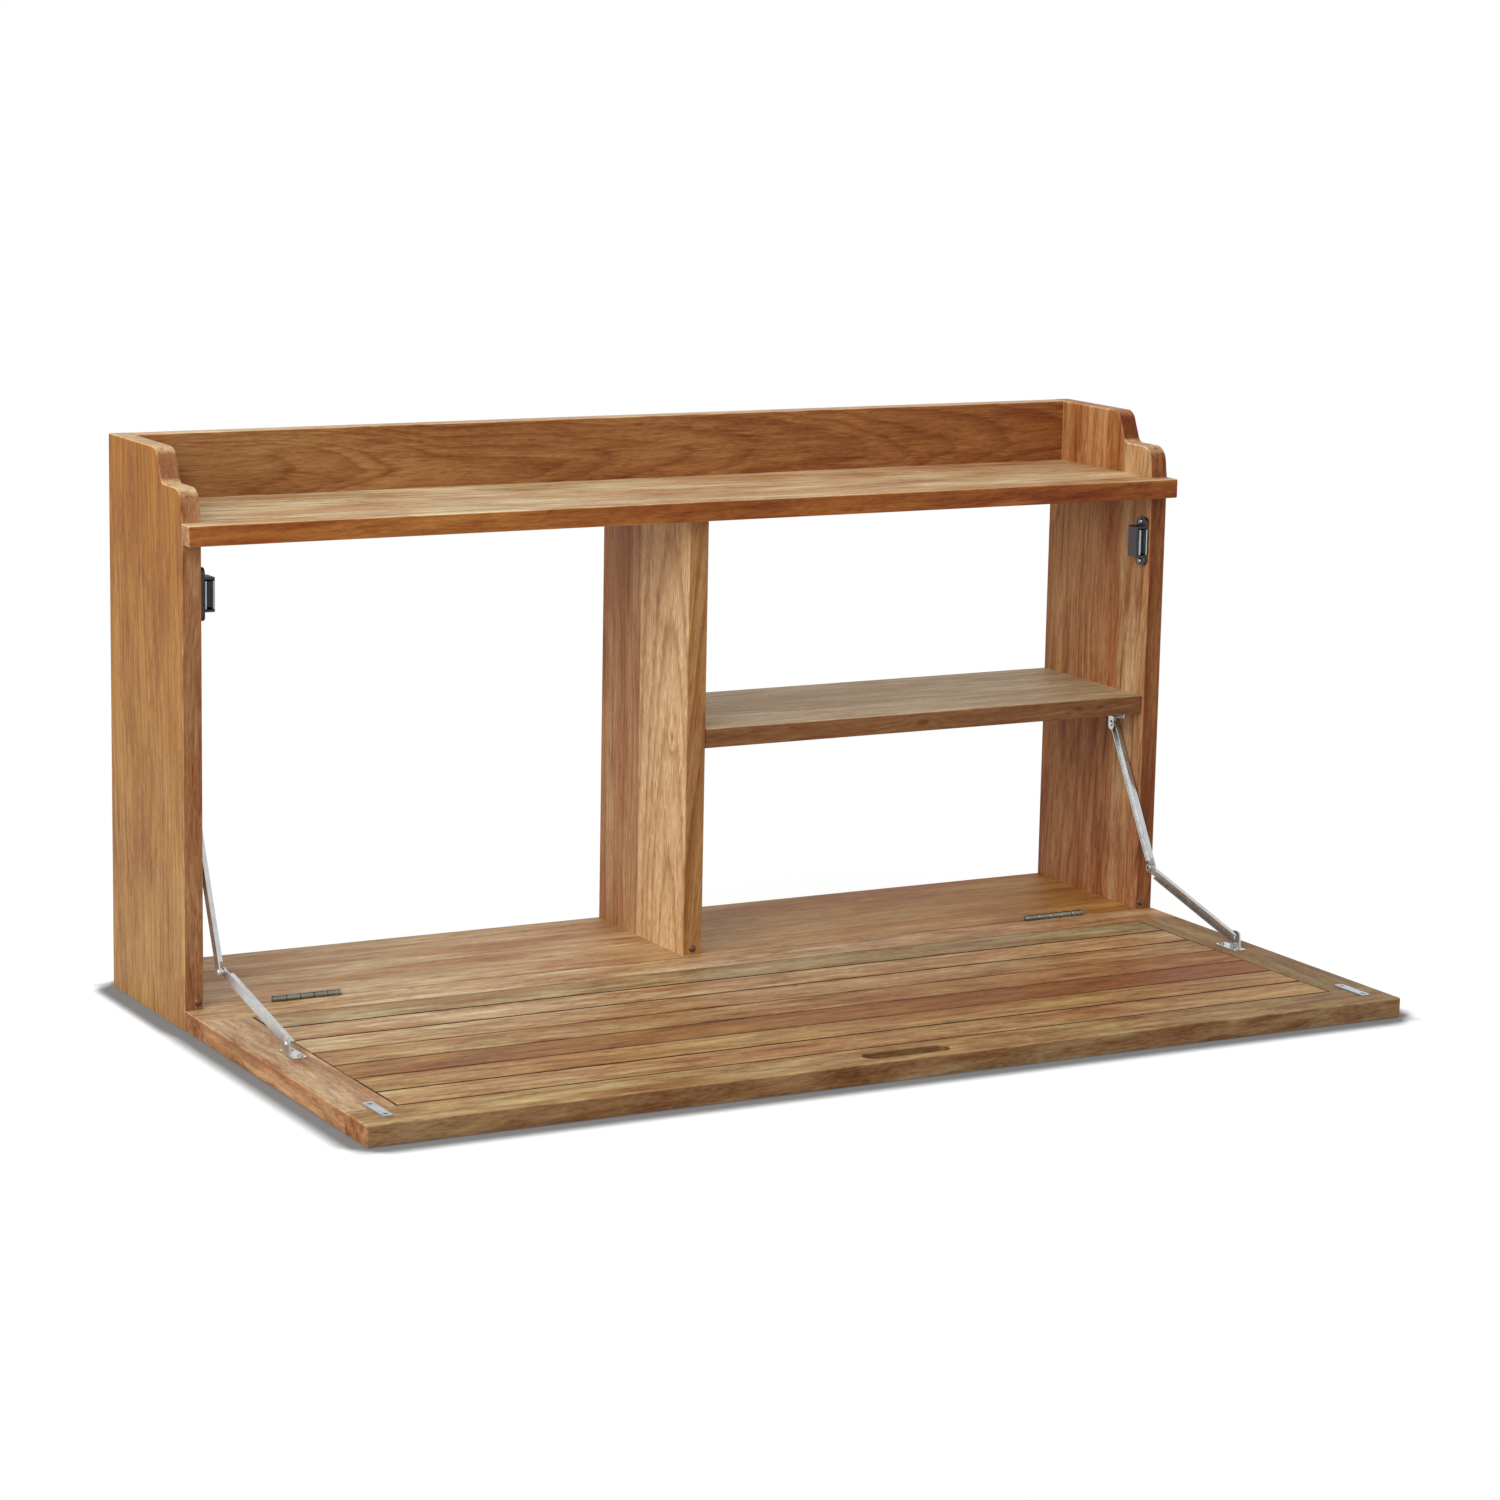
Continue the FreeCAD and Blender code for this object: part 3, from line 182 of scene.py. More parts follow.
def late_wood(tree, radius, ring, fibres):
    """Share of late wood in rings of a mean width in millimetres."""
    count = add(tree, "ShaderNodeMath", {0: radius, 1: 1 / (ring * mm)}, operation="MULTIPLY")
    slower = add(tree, "ShaderNodeMath", {0: count, 1: YEAR_RUN}, operation="MULTIPLY")
    uneven = add(tree, "ShaderNodeTexNoise", {"W": slower, "Scale": 1.0}, noise_dimensions="1D")
    shifted = add(tree, "ShaderNodeMath", {0: uneven, 1: YEAR_SHIFT, 2: count}, operation="MULTIPLY_ADD")
    frayed = add(tree, "ShaderNodeMath", {0: fibres, 1: RING_FRAY, 2: shifted}, operation="MULTIPLY_ADD")
    phase = add(tree, "ShaderNodeMath", {0: frayed}, operation="FRACT")
    return add(tree, "ShaderNodeValToRGB", {"Fac": phase}, stops=ONE_YEAR)


print("a knot bends the rings as far as", KNOT_REACH, "of its radii")

# %% [markdown]
# ## The colour of a board
# Each board has three colours: for upright faces, for tops and for fronts. The tops are mostly painted
# paler, for the sheen and light that they catch, and the fronts darker, as painted shade. The normal of
# a face picks the colour, which saves painting faces by hand. Over it lie broad drifts of red or grey.
# Some boards darken from end to end; along X that is painted shade, for light that falls off to the
# right. One is glued up from a paler and a darker piece. The late wood lines and long dark streaks come
# last. All of them multiply the colour, because stain and shade both take light away.

# %% Colour of a board
# Settings of a Mix node that lays a colour over another, and of one that tints by multiplying
BLEND = dict(data_type="RGBA", out="Result")
TINT = dict(BLEND, blend_type="MULTIPLY")
LATE_TINT = "#B8926E"
BEHIND_GLUE_TINT = "#EAD0B8"
GLUE_BLUR = 0.6


def painted_light_by_face(tree, looks, side, front, top):
    """One of three colours by the way a face looks, with painted light on the tops and painted shade on
    the fronts, and a soft change over a rounded arris.
    """
    ahead = add(tree, "ShaderNodeMapRange", {"Value": looks[1], "From Min": -0.2, "From Max": -0.9})
    up = add(tree, "ShaderNodeMapRange", {"Value": looks[2], "From Min": 0.55, "From Max": 0.95})
    wood = add(tree, "ShaderNodeMix", {"Factor": ahead, "A": colour(side), "B": colour(front)}, **BLEND)
    return add(tree, "ShaderNodeMix", {"Factor": up, "A": wood, "B": colour(top)}, **BLEND)


def tint_between(tree, wood, place, broad, axis, first, last, tint):
    """A tint that grows between two places on an axis, in millimetres, on the broad faces. Along X it is
    painted shade, for light that falls off to the right.
    """
    along = add(tree, "ShaderNodeSeparateXYZ", {"Vector": place}, out=axis)
    gone = add(tree, "ShaderNodeMapRange", {"Value": along, "From Min": first * mm, "From Max": last * mm})
    share = add(tree, "ShaderNodeMath", {0: gone, 1: broad}, operation="MULTIPLY")
    return add(tree, "ShaderNodeMix", {"Factor": share, "A": wood, "B": colour(tint)}, **TINT)


def darker_behind(tree, wood, place, glue_line):
    """A second, darker board behind a glue line, given as a depth in millimetres."""
    depth = add(tree, "ShaderNodeSeparateXYZ", {"Vector": place}, out="Y")
    before = (glue_line - GLUE_BLUR) * mm
    after = (glue_line + GLUE_BLUR) * mm
    behind = add(tree, "ShaderNodeMapRange", {"Value": depth, "From Min": before, "From Max": after})
    return add(tree, "ShaderNodeMix", {"Factor": behind, "A": wood, "B": colour(BEHIND_GLUE_TINT)}, **TINT)


def stained(tree, wood, swayed, late, flush, flush_show, ring_show, streak_show):
    """Broad drifts of a tint, late wood lines and long dark streaks."""
    drift = streaks(tree, swayed, long=240, wide=26, detail=3.0)
    flushed = add(tree, "ShaderNodeMapRange", {
        "Value": drift, "From Min": 0.42, "From Max": 0.62, "To Max": flush_show})
    wood = add(tree, "ShaderNodeMix", {"Factor": flushed, "A": wood, "B": colour(flush)}, **TINT)
    band = streaks(tree, swayed, long=150, wide=5, detail=2.0)
    streaked = add(tree, "ShaderNodeMapRange", {
        "Value": band, "From Min": 0.48, "From Max": 0.74, "To Max": streak_show})
    lines = add(tree, "ShaderNodeMath", {0: late, 1: ring_show, 2: streaked}, operation="MULTIPLY_ADD",
                use_clamp=True)
    return add(tree, "ShaderNodeMix", {"Factor": lines, "A": wood, "B": colour(LATE_TINT)}, **TINT)


print("late wood lines and streaks are tinted by", LATE_TINT)

# %% [markdown]
# ## Tone and wear
# Over the colour lies a play of light and dark: blotches as wide as a hand, a mottle, fibres, specks
# and pores. Arrises are rubbed paler where hands pass, and end grain soaks up oil and turns darker. A
# plain grey tone would make dark wood look dirty. In real wood the dark parts hold more of the brown
# that soaks up blue light first and red light last, so the tone acts on blue the most.

# %% Tone and wear
PIGMENT = Vector((0.62, 1.0, 1.38))
# The middle tone lies above 1, because pores, end grain and knots only darken
MIDDLE_TONE = 1.1
DARKEST_TONE = 0.3
PORE_SHOW = -0.22
SPECK_SHARE = 0.7
END_GRAIN_TONE = 0.86
LEAST_WEAR = 0.3
# Share of wear by how far a face is turned from a board's edge, 0, to its broad face, 1
ARRIS = [(0.10, 0.0), (0.45, 1.0), (0.80, 1.0), (0.97, 0.0)]


def tones(tree, log, fibres, fibre, fibre_show, mottle_show, blotch_show):
    """Light and dark of the wood around 1, with its mottle and its pores."""
    # Real fibres and pores are 0.2 mm wide and would not show. They are drawn coarser here, most of
    # all on tops that are seen at a low angle.
    mottle = streaks(tree, log, long=40, wide=9, detail=4.0)
    blotch = streaks(tree, log, long=130, wide=46, detail=3.0)
    speck = streaks(tree, log, long=9, wide=1.5, detail=2.0)
    pore = streaks(tree, log, long=22, wide=fibre, detail=1.0)
    pores = add(tree, "ShaderNodeMapRange", {"Value": pore, "From Min": 0.58, "From Max": 0.72})
    speck_show = SPECK_SHARE * fibre_show
    tone = MIDDLE_TONE - (blotch_show + mottle_show + fibre_show + speck_show) / 2
    layers = ((blotch, blotch_show), (mottle, mottle_show), (fibres, fibre_show), (speck, speck_show),
              (pores, PORE_SHOW))
    for layer, show in layers:
        tone = add(tree, "ShaderNodeMath", {0: layer, 1: show, 2: tone}, operation="MULTIPLY_ADD")
    return tone, mottle, pores


def worn(tree, tone, broad, end, mottle, wear, eye):
    """Arrises worn paler here and there, end grain soaked darker, knots dark."""
    arris = add(tree, "ShaderNodeValToRGB", {"Fac": broad}, stops=ARRIS)
    rubbed = add(tree, "ShaderNodeMapRange", {
        "Value": mottle, "From Min": 0.35, "From Max": 0.60, "To Min": LEAST_WEAR * wear, "To Max": wear})
    tone = add(tree, "ShaderNodeMath", {0: arris, 1: rubbed, 2: tone}, operation="MULTIPLY_ADD")
    soaked = add(tree, "ShaderNodeMapRange", {
        "Value": end, "From Min": 0.75, "From Max": 0.98, "To Min": 1.0, "To Max": END_GRAIN_TONE})
    tone = add(tree, "ShaderNodeMath", {0: tone, 1: soaked}, operation="MULTIPLY")
    if eye is not None:
        clear = add(tree, "ShaderNodeMath", {0: 1.0, 1: eye}, operation="SUBTRACT")
        tone = add(tree, "ShaderNodeMath", {0: tone, 1: clear}, operation="MULTIPLY")
    return add(tree, "ShaderNodeMath", {0: tone, 1: DARKEST_TONE}, operation="MAXIMUM")


print("tone acts on red, green and blue by", tuple(round(share, 2) for share in PIGMENT))

# %% [markdown]
# ## Joints and sheen
# Faces that look into a joint are painted dark: painted shade, for the shade that falls into the gap.
# The joints are too narrow for the lamp to draw them dark by itself, and a line painted on the tops
# would not follow the boards, so the normal picks these faces too. Oil leaves a dull sheen with open
# fibres: the fibres vary the roughness, and a faint bump lets the pores stand a hair lower.

# %% Joints and sheen
# Painted shade for the faces that look into a joint
JOINT_SHADE = "#33210F"


def shaded_joints(tree, shade, normal, seams, seam_show):
    """Painted shade on the faces that look along the given ways, into the joints."""
    for way in seams:
        toward = add(tree, "ShaderNodeVectorMath", {0: normal, 1: way}, out="Value",
                     operation="DOT_PRODUCT")
        joint = add(tree, "ShaderNodeMapRange", {
            "Value": toward, "From Min": 0.35, "From Max": 0.80, "To Max": seam_show})
        shade = add(tree, "ShaderNodeMix", {"Factor": joint, "A": shade, "B": colour(JOINT_SHADE)}, **BLEND)
    return shade


def oiled(tree, shade, fibres, pores):
    """Oiled wood gives the eye a warm, dull sheen with fine lines that run on over every edge."""
    rough = add(tree, "ShaderNodeMapRange", {
        "Value": fibres, "From Min": 0.3, "From Max": 0.7, "To Min": 0.50, "To Max": 0.64})
    relief = add(tree, "ShaderNodeMath", {0: pores, 1: -0.8, 2: fibres}, operation="MULTIPLY_ADD")
    skin = add(tree, "ShaderNodeBump", {"Strength": 0.35, "Distance": 0.25 * mm, "Height": relief})
    return add(tree, "ShaderNodeBsdfPrincipled", {
        "Base Color": shade, "Roughness": rough, "Specular IOR Level": 0.25, "Normal": skin})


# The colour of the painted shade in the joints
print("dirt in the joints:", JOINT_SHADE)

# %% [markdown]
# ## A whole board
# The steps above come together in one recipe, and each board calls it with its own numbers. A list of
# materials could be written out by hand instead, but then a better grain would have to be copied into
# every one of them.


# %% Oiled teak
def teak(board, run, heart, side, top, front, flush="#E0BEA0", kind="oiled_teak", ring=6.0,
         ring_show=0.4, streak_show=0.6, flush_show=0.8, mottle_show=0.55, blotch_show=1.0, sway=10.0,
         fibre=1.5, fibre_show=1.5, wear=0.7, knots=(), seams=(), seam_show=0.75, glued=None, tint_along=None):
    """Wood for one board, sawn from a log whose heart passes a point in millimetres along run.

    Ring and fibre are widths in millimetres. Seams are the ways that joint faces look, and these faces
    get painted shade. Glued is the depth of a glue line. The tint along an axis is given as the axis, two
    places on it and the tint that grows between them; along X it is painted shade, for light that falls
    off to the right.
    """
    material, tree = new_material(kind + "_" + board)
    low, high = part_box(board)
    extent = high - low
    thickness = min(range(3), key=lambda n: extent[n])
    grain = max(range(3), key=lambda n: abs(run[n]))
    place = add(tree, "ShaderNodeTexCoord", out="Object")
    normal = add(tree, "ShaderNodeTexCoord", out="Normal")
    looks = [add(tree, "ShaderNodeSeparateXYZ", {"Vector": normal}, out=axis) for axis in range(3)]
    broad = add(tree, "ShaderNodeMath", {0: looks[thickness]}, operation="ABSOLUTE")
    end = add(tree, "ShaderNodeMath", {0: looks[grain]}, operation="ABSOLUTE")

    log, swayed = in_log(tree, place, run, heart, sway)
    fibres = streaks(tree, swayed, long=60, wide=fibre, detail=3.0)
    radius, eye = from_heart(tree, place, swayed, grain, knots)
    late = late_wood(tree, radius, ring, fibres)
    wood = painted_light_by_face(tree, looks, side, front, top)
    if tint_along is not None:
        wood = tint_between(tree, wood, place, broad, *tint_along)
    if glued is not None:
        wood = darker_behind(tree, wood, place, glued)
    wood = stained(tree, wood, swayed, late, flush, flush_show, ring_show, streak_show)

    tone, mottle, pores = tones(tree, log, fibres, fibre, fibre_show, mottle_show, blotch_show)
    tone = worn(tree, tone, broad, end, mottle, wear, eye)
    pigment = add(tree, "ShaderNodeVectorMath", {0: tone, 1: PIGMENT, 2: Vector((1, 1, 1)) - PIGMENT},
                  operation="MULTIPLY_ADD")
    shade = add(tree, "ShaderNodeVectorMath", {0: wood, 1: pigment}, operation="MULTIPLY")
    shade = shaded_joints(tree, shade, normal, seams, seam_show)
    add(tree, "ShaderNodeOutputMaterial", {"Surface": oiled(tree, shade, fibres, pores)})
    return material


def dress(material, *nodes):
    """Give CAD nodes a finish."""
    for node in nodes:
        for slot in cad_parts[node].material_slots:
            slot.material = material


print("wood recipe:", teak.__name__)

# %% [markdown]
# ## Boards of the case
# Each board comes from its own log, so each has its own heart, ring width and colours. The sides and
# the divider stand with their grain upright, the other boards lie with it along their length. One
# shared material would be shorter to write, but then the grain would run on from board to board.

# %% Case boards
# The top and front colours are painted light and shade. The tints along X are painted shade: they darken
# each board towards the right, where the light falls off.
CASE_BOARDS = {
    "left_side": dict(
        run=(0.02, 0.04, 1), heart=(-380, 140, 200), ring=9.0, ring_show=0.35, streak_show=0.45, sway=20,
        blotch_show=1.5, flush_show=0.3, wear=1.1, tint_along=("Z", 60, 480, "#EFD079"),
        side="#B4864D", top="#E2C094", front="#A2714A"),
    "right_side": dict(
        run=(0.05, -0.03, 1), heart=(640, -60, 200), ring=8.0, ring_show=0.25, streak_show=0.8, sway=14,
        wear=1.1, tint_along=("Z", 330, 60, "#F0E7E8"),
        side="#D5AF7F", top="#E2C094", front="#986033", flush="#D9B294", glued=-128),
    "base_board": dict(
        run=(1, 0.02, 0.03), heart=(0, -60, 90), ring=7.0, ring_show=0.15, streak_show=0.45, sway=12,
        side="#A57A54", top="#D5B68B", front="#A57A54", flush="#DDB99C", blotch_show=0.9, fibre=8.0,
        seams=[(0, -1, 0)], seam_show=0.55, tint_along=("X", -300, 420, "#E7C788")),
    "top_shelf": dict(
        run=(1, -0.03, 0.02), heart=(0, -120, 560), ring=7.0, ring_show=0.2, streak_show=0.5, sway=10,
        side="#C8A478", top="#E6D1A7", front="#A7662C", flush="#E0BCA2", blotch_show=1.7,
        fibre=5.0, fibre_show=1.8, tint_along=("X", -300, 420, "#F5E6D7")),
    "gallery_rail": dict(
        run=(1, 0.05, 0.01), heart=(200, 60, 470), ring=4.0, ring_show=0.5, streak_show=0.4, sway=8,
        side="#9C6A3C", top="#E2C094", front="#A37140", flush_show=0.3,
        tint_along=("X", -300, 400, "#FDEBE3")),
    "divider_back_board": dict(
        run=(0.01, 0.02, 1), heart=(-120, 160, 200), ring=6.0, ring_show=0.2, streak_show=0.6, sway=8,
        side="#C29365", top="#A3765A", front="#A3765A", blotch_show=1.0),
    "divider_front_board": dict(
        run=(0.10, 0.01, 1), heart=(17, -138, 200), ring=11.0, ring_show=0.6, streak_show=0.3, sway=3,
        side="#E8C18F", top="#C79C6C", front="#B68652", flush_show=0.3, blotch_show=0.4,
        knots=[((-14, -145, 218), 3.0)]),
    "small_shelf": dict(
        run=(1, 0.03, 0.02), heart=(240, -200, 330), ring=6.5, ring_show=0.2, streak_show=0.4, sway=10,
        side="#96683F", top="#D2BA95", front="#8F613B", flush="#DCD2C4", blotch_show=0.9, fibre=2.5,
        knots=[((236, -174, 219), 4.0), ((410, -174, 220), 3.0), ((434, -174, 220), 2.5)]),
}
for board, look in CASE_BOARDS.items():
    dress(teak(board, **look), board)
print("case boards dressed:", len(CASE_BOARDS))

# %% [markdown]
# ## Boards of the flap
# The flap is a writing surface and is paler than the case, and its tops are painted paler still, for
# the sheen that they catch. Its slats are cut from many boards: some lean to red, the first one to grey.
# All boards of the flap share one look. The frame boards add their own numbers one by one, and a loop
# gives each slat its own place in a log, its own colour and its own painted shade in the joints.

# %% Flap boards
# The top and front colours are painted light and shade. The tints along X are painted shade: they darken
# each board towards the right, where the light falls off.
FLAP_LOOK = dict(side="#AF7E52", front="#94724C", ring_show=0.2, streak_show=0.4, flush_show=0.7,
                 mottle_show=1.0, blotch_show=1.3, fibre=8.0, fibre_show=2.4)
FLAP_BOARDS = {
    "flap_back_rail": dict(
        FLAP_LOOK, run=(1, 0.02, 0.04), heart=(0, -200, 90), top="#D9BF94", seams=[(0, -1, 0)],
        seam_show=0.1, tint_along=("X", -380, 420, "#EBD1C0")),
    "flap_front_rail": dict(
        FLAP_LOOK, run=(1, 0.01, 0.05), heart=(100, -550, -60), top="#B59560", seams=[(0, 1, 0)],
        tint_along=("X", 200, 480, "#DCDCDC")),
    "flap_left_stile": dict(
        FLAP_LOOK, run=(0.02, 1, 0.03), heart=(-480, -400, 110), top="#BB966F", seams=[(1, 0, 0)],
        seam_show=0.5),
    "flap_right_stile": dict(
        FLAP_LOOK, run=(0.03, 1, 0.02), heart=(520, -400, 90), top="#9E7C49", seams=[(-1, 0, 0)],
        tint_along=("Y", -250, -480, "#E3E8EA")),
}
# Colour of each slat, how dark the painted shade in its joints is, and the tint of its right end, which
# is painted shade where the light falls off
SLATS = [
    ("#BAA073", 0.95, "#EFEFEA"),
    ("#CEAD81", 0.88, "#F2E2CE"),
    ("#CAAB7D", 0.10, "#EEDCC6"),
    ("#BF9E6C", 0.42, "#E4BE9E"),
    ("#A17341", 0.45, "#EAC8AC"),
    ("#B68F5A", 0.92, "#F4E8D6"),
    ("#C19D6B", 1.00, "#F6ECDC"),
]
for number, (top, painted_shade, end) in enumerate(SLATS, start=1):
    slat = "flap_slat_%d" % number
    low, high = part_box(slat)
    middle = (low.y + high.y) / 2 / mm
    # Remainders of the number scatter the slats over their logs
    run = (1, 0.012 * (number % 3 - 1), 0.03 + 0.008 * (number % 2))
    heart = (180 * (number % 4) - 300, middle + 31 * (number % 3) - 20, 60 + 23 * (number % 4))
    FLAP_BOARDS[slat] = dict(
        FLAP_LOOK, run=run, heart=heart, top=top, wear=0.0, seam_show=painted_shade,
        seams=[(1, 0, 0), (-1, 0, 0), (0, 1, 0), (0, -1, 0)], tint_along=("X", -300, 400, end))
for board, look in FLAP_BOARDS.items():
    dress(teak(board, **look), board)
print("flap boards dressed:", len(FLAP_BOARDS))

# %% [markdown]
# ## Metal and plastic
# The stays are cold rolled strip with a bright zinc plate, and keep the fine lines of the roll. The
# hinges are plain steel that has gone grey. The strikes and hangers have a thicker zinc plate with
# soft cloudy spangles. The catches are moulded in a dark brown plastic, the bumpers in a clear one. A
# metal shows what stands around it, so its look comes from its gloss: noise drawn out like the marks
# of a rolling mill varies the roughness. A bump could draw the same marks, but on such thin strips it
# would only sparkle.

# %% Metal and plastic
# Widths in millimetres. Real roll lines are 0.05 mm wide and real mould grit is 0.05 mm across. Both
# are drawn coarser here, so that they show.
ROLL_LINE = 1.2
ROLL_LENGTH = 16
CLOUD = 9
GRIT = 0.8
# Dust and oil cover the rest of a metal
METAL_SHARE = 0.92


def rolled_steel(name, bright, dull, smooth, coarse):
    """Plated strip steel: clouds vary its colour and lines of the roll vary its gloss."""
    material, tree = new_material(name)
    place = add(tree, "ShaderNodeTexCoord", out="Object")
    roll = streaks(tree, place, ROLL_LINE, ROLL_LENGTH, detail=3.0)
    cloud = add(tree, "ShaderNodeTexNoise", {"Vector": place, "Scale": 1 / (CLOUD * mm), "Detail": 2.0})
    tint = add(tree, "ShaderNodeMix", {"Factor": cloud, "A": colour(dull), "B": colour(bright)}, **BLEND)
    rough = add(tree, "ShaderNodeMapRange", {
        "Value": roll, "From Min": 0.3, "From Max": 0.7, "To Min": smooth, "To Max": coarse})
    surface = add(tree, "ShaderNodeBsdfPrincipled", {
        "Base Color": tint, "Metallic": METAL_SHARE, "Roughness": rough})
    add(tree, "ShaderNodeOutputMaterial", {"Surface": surface})
    return material


def moulded(name, main, mark, rough, clear):
    """A moulded piece with the faint grit of its mould, as clear as the given share."""
    material, tree = new_material(name)
    place = add(tree, "ShaderNodeTexCoord", out="Object")
    grit = add(tree, "ShaderNodeTexNoise", {"Vector": place, "Scale": 1 / (GRIT * mm), "Detail": 2.0})
    tint = add(tree, "ShaderNodeMix", {"Factor": grit, "A": colour(main), "B": colour(mark)}, **BLEND)
    skin = add(tree, "ShaderNodeBump", {"Strength": 0.2, "Distance": 0.05 * mm, "Height": grit})
    surface = add(tree, "ShaderNodeBsdfPrincipled", {
        "Base Color": tint, "Roughness": rough, "Transmission Weight": clear, "Normal": skin})
    add(tree, "ShaderNodeOutputMaterial", {"Surface": surface})
    return material


# Zinc on strip steel gives a clean silver that mirrors the white room in soft streaks
bright_zinc = rolled_steel("bright_zinc_plated_strip", "#D6D7D6", "#B4B6B6", smooth=0.22, coarse=0.32)
# Plain steel gives a warmer and duller grey, so the hinges lie quietly in the wood
grey_steel = rolled_steel("plain_hinge_steel", "#9C998E", "#66645A", smooth=0.22, coarse=0.36)
# Thick zinc gives a cold grey with soft clouds and a wide highlight
clouded_zinc = rolled_steel("clouded_zinc_plate", "#CBD5DC", "#A3AEB6", smooth=0.30, coarse=0.44)
# Nickel gives small warm glints on the screw heads
nickel = rolled_steel("nickel_plated_screw_steel", "#C6C3BC", "#A09C94", smooth=0.18, coarse=0.30)
# Ferrite gives a dull black that shows only between the pole plates
ferrite = moulded("sintered_ferrite", "#2A2A2C", "#3A3A3C", rough=0.60, clear=0.0)
# Dark ABS gives a near black with a tight highlight along its edges
brown_plastic = moulded("dark_brown_abs", "#241716", "#362422", rough=0.34, clear=0.0)
# Clear soft PVC lets some of the wood behind it shine through, and its brown is painted: it stands in
# for the wood seen through it
clear_plastic = moulded("clear_soft_pvc", "#8A5A44", "#7A4C38", rough=0.10, clear=0.40)
print("finishes so far:", len(bpy.data.materials))

# %% [markdown]
# ## Fittings and dowels
# Each fitting now gets its finish by name. The left and the right fittings are alike, so a loop dresses
# both. The dowels could have a finish of their own, but they are only a paler, plainer wood, so they
# use the recipe of the boards with the numbers of beech.

# %% Fittings and dowels
# Beech is paler and plainer than teak and shows almost no rings
BEECH = dict(kind="turned_beech", side="#C9A478", top="#C9A478", front="#C9A478", ring_show=0.1,
             streak_show=0.2)
dress(teak("case_dowels", run=(1, 0.02, 0.03), heart=(0, -90, 700), **BEECH), "case_dowels")
dress(teak("flap_dowels", run=(0.02, 1, 0.03), heart=(0, -400, 300), **BEECH), "flap_dowels")
for side in ("left", "right"):
    dress(bright_zinc, side + "_stay_upper_arm", side + "_stay_lower_arm", side + "_knee_stud",
          side + "_knee_eyelet", side + "_stay_case_bracket", side + "_stay_flap_bracket")
    dress(grey_steel, side + "_hinge_case_leaf", side + "_hinge_flap_leaf")
    dress(clouded_zinc, side + "_strike_plate", side + "_hanger_plate")
    dress(brown_plastic, side + "_catch_housing")
dress(bright_zinc, "stay_case_rivets", "stay_flap_rivets")
dress(grey_steel, "hinge_pins")
dress(clouded_zinc, "catch_pole_plates")
dress(ferrite, "catch_magnets")
dress(clear_plastic, "flap_bumpers")
print("finishes:", len(bpy.data.materials))

# %% [markdown]
# ## One screw with a cross recess
# Flat screws hold the hinges, the hangers, the strikes and the upper ends of the stays. Domed ones hold
# the catches and the feet of the stays. The CAD screws are plain turned solids without a recess. A
# recess could be cut into each of them by hand, but a Geometry Nodes tree needs to be told only once.
# It builds a screw from its sizes: round pieces make the head, the shank and the point, and two bars
# make the cross that is cut out.

# %% One screw
SCREW_SIZES = ("Head radius", "Head height", "Shank radius", "Length", "Recess")
CORNERS_AROUND = 24
# Shares of the recess, of the head's radius and of the head's height
BAR_SHARE = 0.35
CROWN_SHARE = 0.6
DOME_SHARE = 0.55


def cone(tree, near, far, depth, level):
    """Round piece with its two radii, from a level along the screw."""
    mesh = add(tree, "GeometryNodeMeshCone", {
        "Vertices": CORNERS_AROUND, "Radius Bottom": near, "Radius Top": far, "Depth": depth})
    lift = add(tree, "ShaderNodeCombineXYZ", {"Z": level})
    return add(tree, "GeometryNodeTransform", {"Geometry": mesh, "Translation": lift})


def cut_cross(tree, cap, recess, face):
    """The cap of a head with a cross sunk into its face."""
    narrow = add(tree, "ShaderNodeMath", {0: recess, 1: BAR_SHARE}, operation="MULTIPLY")
    bars = []
    for long, wide in ((recess, narrow), (narrow, recess)):
        size = add(tree, "ShaderNodeCombineXYZ", {"X": long, "Y": wide, "Z": recess})
        bars.append(add(tree, "GeometryNodeMeshCube", {"Size": size}))
    # The exact solver also cuts shapes of a few millimetres cleanly
    cross = add(tree, "GeometryNodeMeshBoolean", {"Mesh 2": bars}, operation="UNION", solver="EXACT")
    lift = add(tree, "ShaderNodeCombineXYZ", {"Z": face})
    sunk = add(tree, "GeometryNodeTransform", {"Geometry": cross, "Translation": lift})
    return add(tree, "GeometryNodeMeshBoolean", {"Mesh 1": cap, "Mesh 2": sunk}, operation="DIFFERENCE",
               solver="EXACT")


def screw(tree, domed, head, height, shank, length, recess):
    """One screw that points up Z from its seat at 0, with a flat head above 0 or a domed one below."""
    if domed:
        crown = add(tree, "ShaderNodeMath", {0: head, 1: CROWN_SHARE}, operation="MULTIPLY")
        face = add(tree, "ShaderNodeMath", {0: height, 1: -1.0}, operation="MULTIPLY")
        dome = add(tree, "ShaderNodeMath", {0: height, 1: DOME_SHARE}, operation="MULTIPLY")
        collar = add(tree, "ShaderNodeMath", {0: height, 1: dome}, operation="SUBTRACT")
        below = add(tree, "ShaderNodeMath", {0: face, 1: dome}, operation="ADD")
        cap = cone(tree, crown, head, dome, face)
        pieces = [cut_cross(tree, cap, recess, face), cone(tree, head, head, collar, below)]
        start = 0.0
    else:
        cap = cone(tree, head, shank, height, 0.0)
        pieces = [cut_cross(tree, cap, recess, 0.0)]
        start = height
    body_end = add(tree, "ShaderNodeMath", {0: length, 1: head}, operation="SUBTRACT")
    body_length = add(tree, "ShaderNodeMath", {0: body_end, 1: start}, operation="SUBTRACT")
    pieces.append(cone(tree, shank, shank, body_length, start))
    pieces.append(cone(tree, shank, 0.0, head, body_end))
    return add(tree, "GeometryNodeJoinGeometry", {"Geometry": pieces})


print("sizes of a screw:", SCREW_SIZES)

